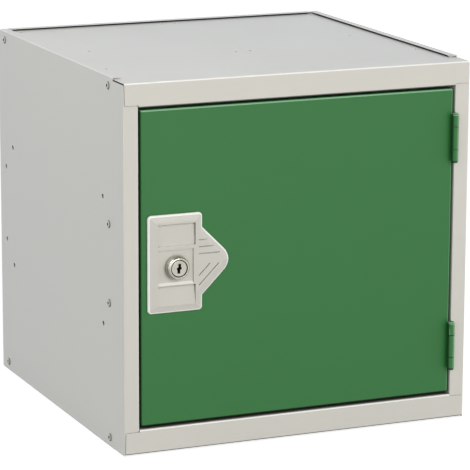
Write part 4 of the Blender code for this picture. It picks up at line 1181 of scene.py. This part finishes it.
def field_cutter(lock, field):
    """A cutter for a field whose lower edge slopes down to the plate's front."""
    corner, overrun = PLATE_LOW, 1.5 * MM
    left, right = corner.x + lock.field_start, corner.x + field.right * MM
    base, top = corner.z + field.base * MM, corner.z + field.top * MM
    lower, upper, slope = field.base_depth * MM, field.top_depth * MM, field.slope * MM
    obj = block((left, corner.y - overrun, base), (right, corner.y + upper, top))
    with editing(obj):
        select("VERT", lambda vert: near(vert.co.z, base) and vert.co.y > corner.y)
        bpy.ops.transform.translate(value=(0, lower - upper, slope))
        select("VERT", lambda vert: near(vert.co.z, base) and vert.co.y < corner.y)
        bpy.ops.transform.translate(value=(0, 0, -overrun * slope / lower))
    return obj


def groove_cutter(lock, groove):
    """A cutter for a groove that starts at the arrow's left, level or slanting."""
    half = lock.groove / 2
    start = PLATE_LOW + Vector((lock.groove_start, 0, groove.height * MM))
    obj = block((start.x, start.y - MM, start.z - half),
                (start.x + groove.length * MM, start.y + lock.groove_depth, start.z + half))
    with editing(obj):
        bpy.ops.transform.rotate(value=math.radians(groove.angle), orient_axis="Y",
                                 center_override=start)
    return obj


def arrow_sheet(lock, name):
    """The plate's outline as a flat sheet: a panel with an arrow to its right."""
    low, high = PLATE_LOW, PLATE_HIGH
    centre_z = (low.z + high.z) / 2
    half = lock.arrow / 2
    right = low.x + lock.plate_width
    obj = flat_sheet(name, (low.x, high.y, low.z), (right, high.y, high.z))
    with editing(obj):
        mark(2, centre_z - half, centre_z + half)
        select("EDGE", lambda edge: edge.is_boundary and near(middle(edge).x, right)
               and near(middle(edge).z, centre_z))
        pull(bpy.ops.mesh.extrude_edges_move, (half, 0, 0))
        bpy.ops.mesh.merge(type="CENTER")
        select_all()
        bpy.ops.mesh.dissolve_faces()
    return obj


def model_plate(lock):
    """The moulded plate: a panel with an arrow and a sloping rim, three fields and grooves."""
    low, high = PLATE_LOW, PLATE_HIGH
    centre_z = (low.z + high.z) / 2
    half = lock.arrow / 2
    right = low.x + lock.plate_width
    thick = high.y - low.y
    obj = arrow_sheet(lock, "moulded_plate")
    with editing(obj):
        pull(bpy.ops.mesh.extrude_region_move, (0, lock.rim_drop - thick, 0))
        bpy.ops.mesh.inset(thickness=lock.rim)
        bpy.ops.transform.translate(value=(0, -lock.rim_drop, 0))
        face_outward()
    outline = arrow_sheet(lock, "plate_outline")
    with editing(outline):
        for x in (low.x, right):
            for z in (low.z, high.z):
                round_corner(x, z, lock.corner, QUARTER, 8)
        round_corner(right + half, centre_z, lock.tip, QUARTER, 16)
        for z in (centre_z - half, centre_z + half):
            round_corner(right, z, lock.notch, 1.5 * QUARTER, 4)
        select("FACE", lambda face: True)
        bpy.ops.transform.translate(value=(0, MM, 0))
        pull(bpy.ops.mesh.extrude_region_move, (0, -thick - 2 * MM, 0))
        face_outward()
    combine(obj, outline, "INTERSECT")
    with editing(obj):
        bpy.ops.mesh.remove_doubles(threshold=NEAR)
        select("EDGE", lambda edge: all(vert.co.y < high.y - MM for vert in edge.verts)
               and edge.calc_face_angle(0) > math.radians(55))
        bpy.ops.mesh.bevel(offset=lock.edge, segments=8)
    for field in FIELDS:
        combine(obj, field_cutter(lock, field))
    for groove in GROOVES:
        combine(obj, groove_cutter(lock, groove))
    combine(obj, rod(on_lock(low.y), BACK, lock.lock_hole, BORE, 64))
    soften(obj, 0.16 * MM, angle=20, crisp=12)
    return obj


def model_housing(lock):
    """The bezel and barrel, turned in one piece and bored for the plug."""
    front, back = BEZEL_LOW.y, BEZEL_HIGH.y
    bore, ring, barrel = lock.plug / 2 + lock.plug_fit, lock.ring / 2, lock.barrel / 2
    head_bore = lock.plug_head / 2 + lock.plug_gap
    base = (BEZEL_HIGH.x - BEZEL_LOW.x) / 2
    lip, shoulder = 0.2 * MM, 6 * MM
    profile = [(bore, 2.5 * MM), (head_bore, 2.4 * MM), (head_bore, 0.3 * MM)]
    profile += arc((head_bore + lip, lip), (lip, lip), 180, 270, 4)
    profile += [(ring - lip, 0), (ring - 0.08 * MM, 0.03 * MM), (ring, 0.14 * MM)]
    profile += arc((ring, shoulder), (base - ring, shoulder - 0.14 * MM), -84, 0, 14)
    profile += [
        (base, lock.bezel - 0.15 * MM),
        (base - 0.15 * MM, lock.bezel),
        (barrel, lock.bezel),
        (barrel, back - front),
        (bore, back - front),
    ]
    obj = turned("turned_housing", on_lock(front), BACK, profile, 96, ring=True)
    smooth(obj, 35)
    return obj


def model_nut(lock):
    low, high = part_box("lock_nut")
    radius = lock.nut / 2 / math.cos(math.radians(30))
    corners = arc((LOCK_CENTRE.x, LOCK_CENTRE.z), (radius, radius), 0, 300, 5)
    obj = drawn("hexagon_nut", [(x, low.y, z) for x, z in corners], high.y - low.y)
    combine(obj, rod(on_lock(low.y), BACK, lock.barrel + lock.nut_fit, BORE, 64))
    soften(obj, 0.4 * MM)
    return obj


def bar(half_x, half_z, front, back):
    """A rectangular bar along the lock's axis."""
    side = Vector((half_x, 0, half_z))
    return block(on_lock(front) - side, on_lock(back) + side)


def model_plug(lock):
    """The plug with its keyway in front and its square end behind."""
    front, end = PLUG_LOW.y, PLUG_HIGH.y
    radius, head = lock.plug / 2, lock.plug_head / 2
    depth = BEZEL_HIGH.y - front
    dish, brim, bend = 0.1 * MM, 1.6 * MM, 0.5 * MM
    profile = [(0, dish), (head - 1.5 * MM, dish), (head - 1.2 * MM, 0), (head - bend, 0)]
    profile += arc((head - bend, bend), (bend, bend), -70, 0, 4)
    profile += [(head, brim), (radius, brim + 0.05 * MM), (radius, depth), (0, depth)]
    obj = turned("turned_plug", on_lock(front), BACK, profile, 64)
    square = lock.cam_square / 2
    combine(obj, bar(square, square, BEZEL_HIGH.y - MM, end), "UNION")
    shares = ((0.75, 1.0), (0.75, 0.35), (1.0, 0.1), (1.0, -0.12), (0.4, -0.3), (0.4, -1.0))
    half = [(x * lock.keyway / 2, z * lock.keyway_height / 2) for x, z in shares]
    outline = half + [(-x, -z) for x, z in half]
    points = [(LOCK_CENTRE.x + x, front - MM, LOCK_CENTRE.z + z) for x, z in outline]
    combine(obj, drawn("keyway", points, MM + lock.keyway_depth))
    combine(obj, rod(on_lock(end), BACK, lock.screw_hole, 2 * lock.screw_depth, 32))
    soften(obj, 0.12 * MM, angle=35)
    return obj


def model_cam(lock):
    """A flat cam: a round hub with an arm that hangs down."""
    low, high = CAM_LOW, CAM_HIGH
    hub, half = lock.cam_hub / 2, lock.cam_arm / 2
    centre_x, centre_z = (low.x + high.x) / 2, high.z - hub
    meet = math.degrees(math.asin(half / hub))
    outline = arc((centre_x, centre_z), (hub, hub), meet - 90, 270 - meet, 32)
    outline += arc((centre_x, low.z + half), (half, half), 180, 360, 16)
    obj = drawn("pressed_cam", [(x, low.y, z) for x, z in outline], high.y - low.y)
    square = lock.cam_square / 2 + lock.cam_fit
    combine(obj, block((centre_x - square, low.y - MM, centre_z - square),
                       (centre_x + square, high.y + MM, centre_z + square)))
    soften(obj, 0.3 * MM)
    return obj


def model_washer(lock):
    low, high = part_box("cam_washer")
    radius, thick, hole = (high.x - low.x) / 2, high.y - low.y, lock.screw_hole / 2
    bend = 0.1 * MM
    profile = [(hole, thick), (radius - 0.25 * MM, thick), (radius, thick - 0.2 * MM),
               (radius, bend), (radius - bend, 0), (hole, 0)]
    obj = turned("turned_washer", on_lock(low.y), BACK, profile, 48, ring=True)
    smooth(obj)
    return obj


def model_cam_screw(lock):
    """A slotted pan-head screw."""
    low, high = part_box("cam_screw")
    head, shank = (high.x - low.x) / 2, lock.screw / 2
    thick, side, bend, point = lock.screw_head, 0.6 * MM, 0.1 * MM, 0.4 * MM
    under = high.y - thick - low.y
    profile = [(0, high.y - low.y)]
    profile += arc((0, under + side), (head, thick - side), 80, 0, 10)
    profile += [(head, under + bend), (head - bend, under), (shank, under), (shank, point),
                (shank - point, 0), (0, 0)]
    obj = turned("turned_cam_screw", on_lock(low.y), BACK, profile, 48)
    combine(obj, bar(head + MM, lock.slot / 2, high.y - lock.slot, high.y + MM))
    soften(obj, 0.1 * MM, angle=40)
    return obj


# Operators


class LockerOperator:
    bl_options = {"REGISTER", "UNDO"}

    def execute(self, context):
        self.build(context.scene.cube_locker)
        return {"FINISHED"}


class CUBE_LOCKER_OT_side_panels(LockerOperator, bpy.types.Operator):
    """Adds the two folded side panels"""

    bl_idname = "cube_locker.side_panels"
    bl_label = "Side Panels"

    def build(self, settings):
        carcass = settings.carcass
        left = model_side_panel(carcass)
        left.name = "folded_left_side"
        right = copy_of(left, "folded_right_side")
        mirror(right, 0, 0)
        buffers = [centre_of("door_buffer_" + place) for place in ("upper", "lower")]
        for spot in buffers:
            spot.y = stop_y(carcass)
        punch(left, buffers, BACK, carcass.buffer_hole)
        for obj, node in ((left, "left_side_panel"), (right, "right_side_panel")):
            soften(obj, carcass.edge)
            dress(obj, node)


class CUBE_LOCKER_OT_top_and_floor(LockerOperator, bpy.types.Operator):
    """Adds the top panel, and the floor panel, which is the same piece turned over"""

    bl_idname = "cube_locker.top_and_floor"
    bl_label = "Top and Floor"

    def build(self, settings):
        top = model_level_panel(settings.carcass)
        top.name = "folded_top"
        floor = copy_of(top, "folded_floor")
        mirror(floor, 2, MIDDLE_Z)
        for obj, node in ((top, "top_panel"), (floor, "floor_panel")):
            soften(obj, settings.carcass.edge)
            dress(obj, node)


class CUBE_LOCKER_OT_back_panel(LockerOperator, bpy.types.Operator):
    """Adds the back panel"""

    bl_idname = "cube_locker.back_panel"
    bl_label = "Back Panel"

    def build(self, settings):
        obj = model_back_panel(settings.carcass)
        soften(obj, settings.carcass.edge)
        dress(obj, "back_panel")


class CUBE_LOCKER_OT_rivets(LockerOperator, bpy.types.Operator):
    """Adds the rivets of both sides, each with its own mesh"""

    bl_idname = "cube_locker.rivets"
    bl_label = "Rivets"

    def build(self, settings):
        nodes = sorted(node for node in SLOT_OF if "rivet" in node)
        place = Vector((SIDE_LOW.x, 0, 0))
        carcass = settings.carcass
        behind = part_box(nodes[0])[1].x - place.x
        first = model_rivet(carcass, place, behind - carcass.bulb_length)
        smooth(first, 40)
        for node in nodes:
            spot = centre_of(node)
            obj = copy_of(first, node + "_head")
            move_by(obj, (0, spot.y, spot.z))
            if spot.x > 0:
                mirror(obj, 0, 0)
            dress(obj, node)
        bpy.data.objects.remove(first)


class CUBE_LOCKER_OT_keep_and_buffers(LockerOperator, bpy.types.Operator):
    """Adds the lock keep behind the upright and the rubber buffers"""

    bl_idname = "cube_locker.keep_and_buffers"
    bl_label = "Keep and Buffers"

    def build(self, settings):
        dress(model_keep(settings.carcass), "lock_keep")
        for node in ("door_buffer_upper", "door_buffer_lower"):
            dress(model_buffer(node), node)


class CUBE_LOCKER_OT_door_panel(LockerOperator, bpy.types.Operator):
    """Adds the boxed door"""

    bl_idname = "cube_locker.door_panel"
    bl_label = "Door"

    def build(self, settings):
        dress(model_door(settings.door), "door_panel")


class CUBE_LOCKER_OT_hinges(LockerOperator, bpy.types.Operator):
    """Adds both hinges, with their leaves and pins"""

    bl_idname = "cube_locker.hinges"
    bl_label = "Hinges"

    def build(self, settings):
        for place in ("upper", "lower"):
            for leaf in ("frame_leaf", "door_leaf"):
                node = place + "_hinge_" + leaf
                dress(model_leaf(settings.door, node), node)
            node = place + "_hinge_pin"
            dress(model_pin(settings.door, node), node)


class CUBE_LOCKER_OT_lock_plate(LockerOperator, bpy.types.Operator):
    """Adds the moulded plate round the lock"""

    bl_idname = "cube_locker.lock_plate"
    bl_label = "Lock Plate"

    def build(self, settings):
        dress(model_plate(settings.lock), "lock_plate")


class CUBE_LOCKER_OT_lock(LockerOperator, bpy.types.Operator):
    """Adds the lock's housing and nut, and the plug, cam, washer and screw that turn"""

    bl_idname = "cube_locker.lock"
    bl_label = "Cam Lock"

    def build(self, settings):
        lock = settings.lock
        dress(model_housing(lock), "lock_housing")
        dress(model_nut(lock), "lock_nut")
        dress(model_plug(lock), "lock_plug")
        dress(model_cam(lock), "lock_cam")
        dress(model_washer(lock), "cam_washer")
        dress(model_cam_screw(lock), "cam_screw")


class CUBE_LOCKER_OT_stage(LockerOperator, bpy.types.Operator):
    """Adds the floor, the studio lights and the camera"""

    bl_idname = "cube_locker.stage"
    bl_label = "Studio"

    def build(self, settings):
        stage = settings.stage
        add_floor()
        light_studio(stage)
        add_camera(stage)


def seen_directly(finish):
    """1 for what the camera sees itself, in a mirror or through glass."""
    kinds = [finish.node("ShaderNodeLightPath", name) for name in
             ("Is Camera Ray", "Is Glossy Ray", "Is Transmission Ray")]
    return finish.node("ShaderNodeMath", 0, (kinds[0] + kinds[1] + kinds[2], 1.0),
                       operation="MINIMUM")


def add_floor():
    """A white floor that keeps the locker's shadow."""
    deselect()
    bpy.ops.mesh.primitive_plane_add(size=30, location=(0, 0, -0.0002))
    floor = settle(bpy.context.object, "studio_floor")
    finish = Finish("studio_floor")
    finish.set(base_color=(0.5, 0.5, 0.5, 1.0), roughness=0.9)
    finish.shader.inputs["Specular IOR Level"].default_value = 0.0
    finish.shader.inputs["Emission Strength"].default_value = 1.0
    glow = finish.shaded((0.78, 0.78, 0.78), seen_directly(finish))
    finish.set(emission_color=glow)
    floor.data.materials.append(finish.material)


def softbox(name, place, aim, size, power, colour):
    bpy.ops.object.light_add(type="AREA", location=place)
    lamp = bpy.context.object
    lamp.name = name
    lamp.rotation_euler = (Vector(aim) - Vector(place)).to_track_quat("-Z", "Y").to_euler()
    lamp.data.shape = "RECTANGLE"
    lamp.data.size, lamp.data.size_y = size
    lamp.data.energy = power
    lamp.data.color = colour
    lamp.visible_camera = False


def light_studio(stage):
    """Even white light all round, with softboxes in front and overhead."""
    world = bpy.data.worlds.new("studio")
    world.use_nodes = True
    bpy.context.scene.world = world
    nodes, links = world.node_tree.nodes, world.node_tree.links
    background = nodes["Background"]
    background.inputs["Color"].default_value = (0.915, 0.96, 1.0, 1.0)
    path = nodes.new("ShaderNodeLightPath")
    seen = nodes.new("ShaderNodeMath")
    seen.operation = "MAXIMUM"
    links.new(path.outputs["Is Camera Ray"], seen.inputs[0])
    links.new(path.outputs["Is Transmission Ray"], seen.inputs[1])
    direction = nodes.new("ShaderNodeSeparateXYZ")
    links.new(nodes.new("ShaderNodeTexCoord").outputs["Generated"], direction.inputs[0])
    level = nodes.new("ShaderNodeMapRange")
    level.inputs["From Max"].default_value = 0.9
    level.inputs["To Min"].default_value = stage.sky
    level.inputs["To Max"].default_value = stage.sky * stage.zenith
    links.new(direction.outputs["Z"], level.inputs["Value"])
    strength = nodes.new("ShaderNodeMapRange")
    links.new(level.outputs[0], strength.inputs["To Min"])
    strength.inputs["To Max"].default_value = 1.0
    links.new(seen.outputs[0], strength.inputs["Value"])
    links.new(strength.outputs[0], background.inputs["Strength"])
    softbox("front_softbox", place=(0.25, -2.8, 1.45), aim=(0, 0, 0.2), size=(1.6, 1.4),
            power=stage.key, colour=(1.0, 0.91, 0.82))
    softbox("top_softbox", place=(-0.65, -0.1, 0.95), aim=(-0.19, 0, 0.38), size=(0.3, 0.5),
            power=stage.top, colour=(1.0, 0.96, 0.9))


def add_camera(stage):
    """The camera at the photograph's viewing angle."""
    bpy.ops.object.camera_add(location=stage.camera)
    camera = bpy.context.object
    camera.name = "camera"
    turn = Matrix.Rotation(-stage.turn, 4, "Z") @ Matrix.Rotation(QUARTER - stage.dip, 4, "X")
    roll = Matrix.Rotation(stage.roll, 4, "Z")
    camera.matrix_world = Matrix.Translation(stage.camera) @ turn @ roll
    camera.data.lens = stage.lens
    camera.data.sensor_width = 36
    camera.data.clip_end = 40
    bpy.context.scene.camera = camera
    view = bpy.context.scene.view_settings
    view.view_transform = "Standard"


BUILD_ORDER = (
    "side_panels",
    "top_and_floor",
    "back_panel",
    "rivets",
    "keep_and_buffers",
    "door_panel",
    "hinges",
    "lock_plate",
    "lock",
    "stage",
)


class CUBE_LOCKER_PT_panel(bpy.types.Panel):
    bl_label = "Cube Locker"
    bl_idname = "CUBE_LOCKER_PT_panel"
    bl_space_type = "VIEW_3D"
    bl_region_type = "UI"
    bl_category = "Cube Locker"

    def draw(self, context):
        for name in BUILD_ORDER:
            self.layout.operator("cube_locker." + name)
        settings = context.scene.cube_locker
        groups = ("carcass", "door", "lock", "colours", "stage")
        for group in (getattr(settings, name) for name in groups):
            box = self.layout.box()
            for name in group.bl_rna.properties.keys():
                if name not in ("rna_type", "name"):
                    box.prop(group, name)


CLASSES = (
    CarcassSizes,
    DoorSizes,
    LockSizes,
    Colours,
    StageSettings,
    LockerSettings,
    CUBE_LOCKER_OT_side_panels,
    CUBE_LOCKER_OT_top_and_floor,
    CUBE_LOCKER_OT_back_panel,
    CUBE_LOCKER_OT_rivets,
    CUBE_LOCKER_OT_keep_and_buffers,
    CUBE_LOCKER_OT_door_panel,
    CUBE_LOCKER_OT_hinges,
    CUBE_LOCKER_OT_lock_plate,
    CUBE_LOCKER_OT_lock,
    CUBE_LOCKER_OT_stage,
    CUBE_LOCKER_PT_panel,
)


def register():
    for cls in CLASSES:
        bpy.utils.register_class(cls)
    bpy.types.Scene.cube_locker = PointerProperty(type=LockerSettings)


def unregister():
    del bpy.types.Scene.cube_locker
    for cls in reversed(CLASSES):
        bpy.utils.unregister_class(cls)


def main():
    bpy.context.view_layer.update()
    register()
    for name in BUILD_ORDER:
        getattr(bpy.ops.cube_locker, name)()


if __name__ == "__main__":
    main()
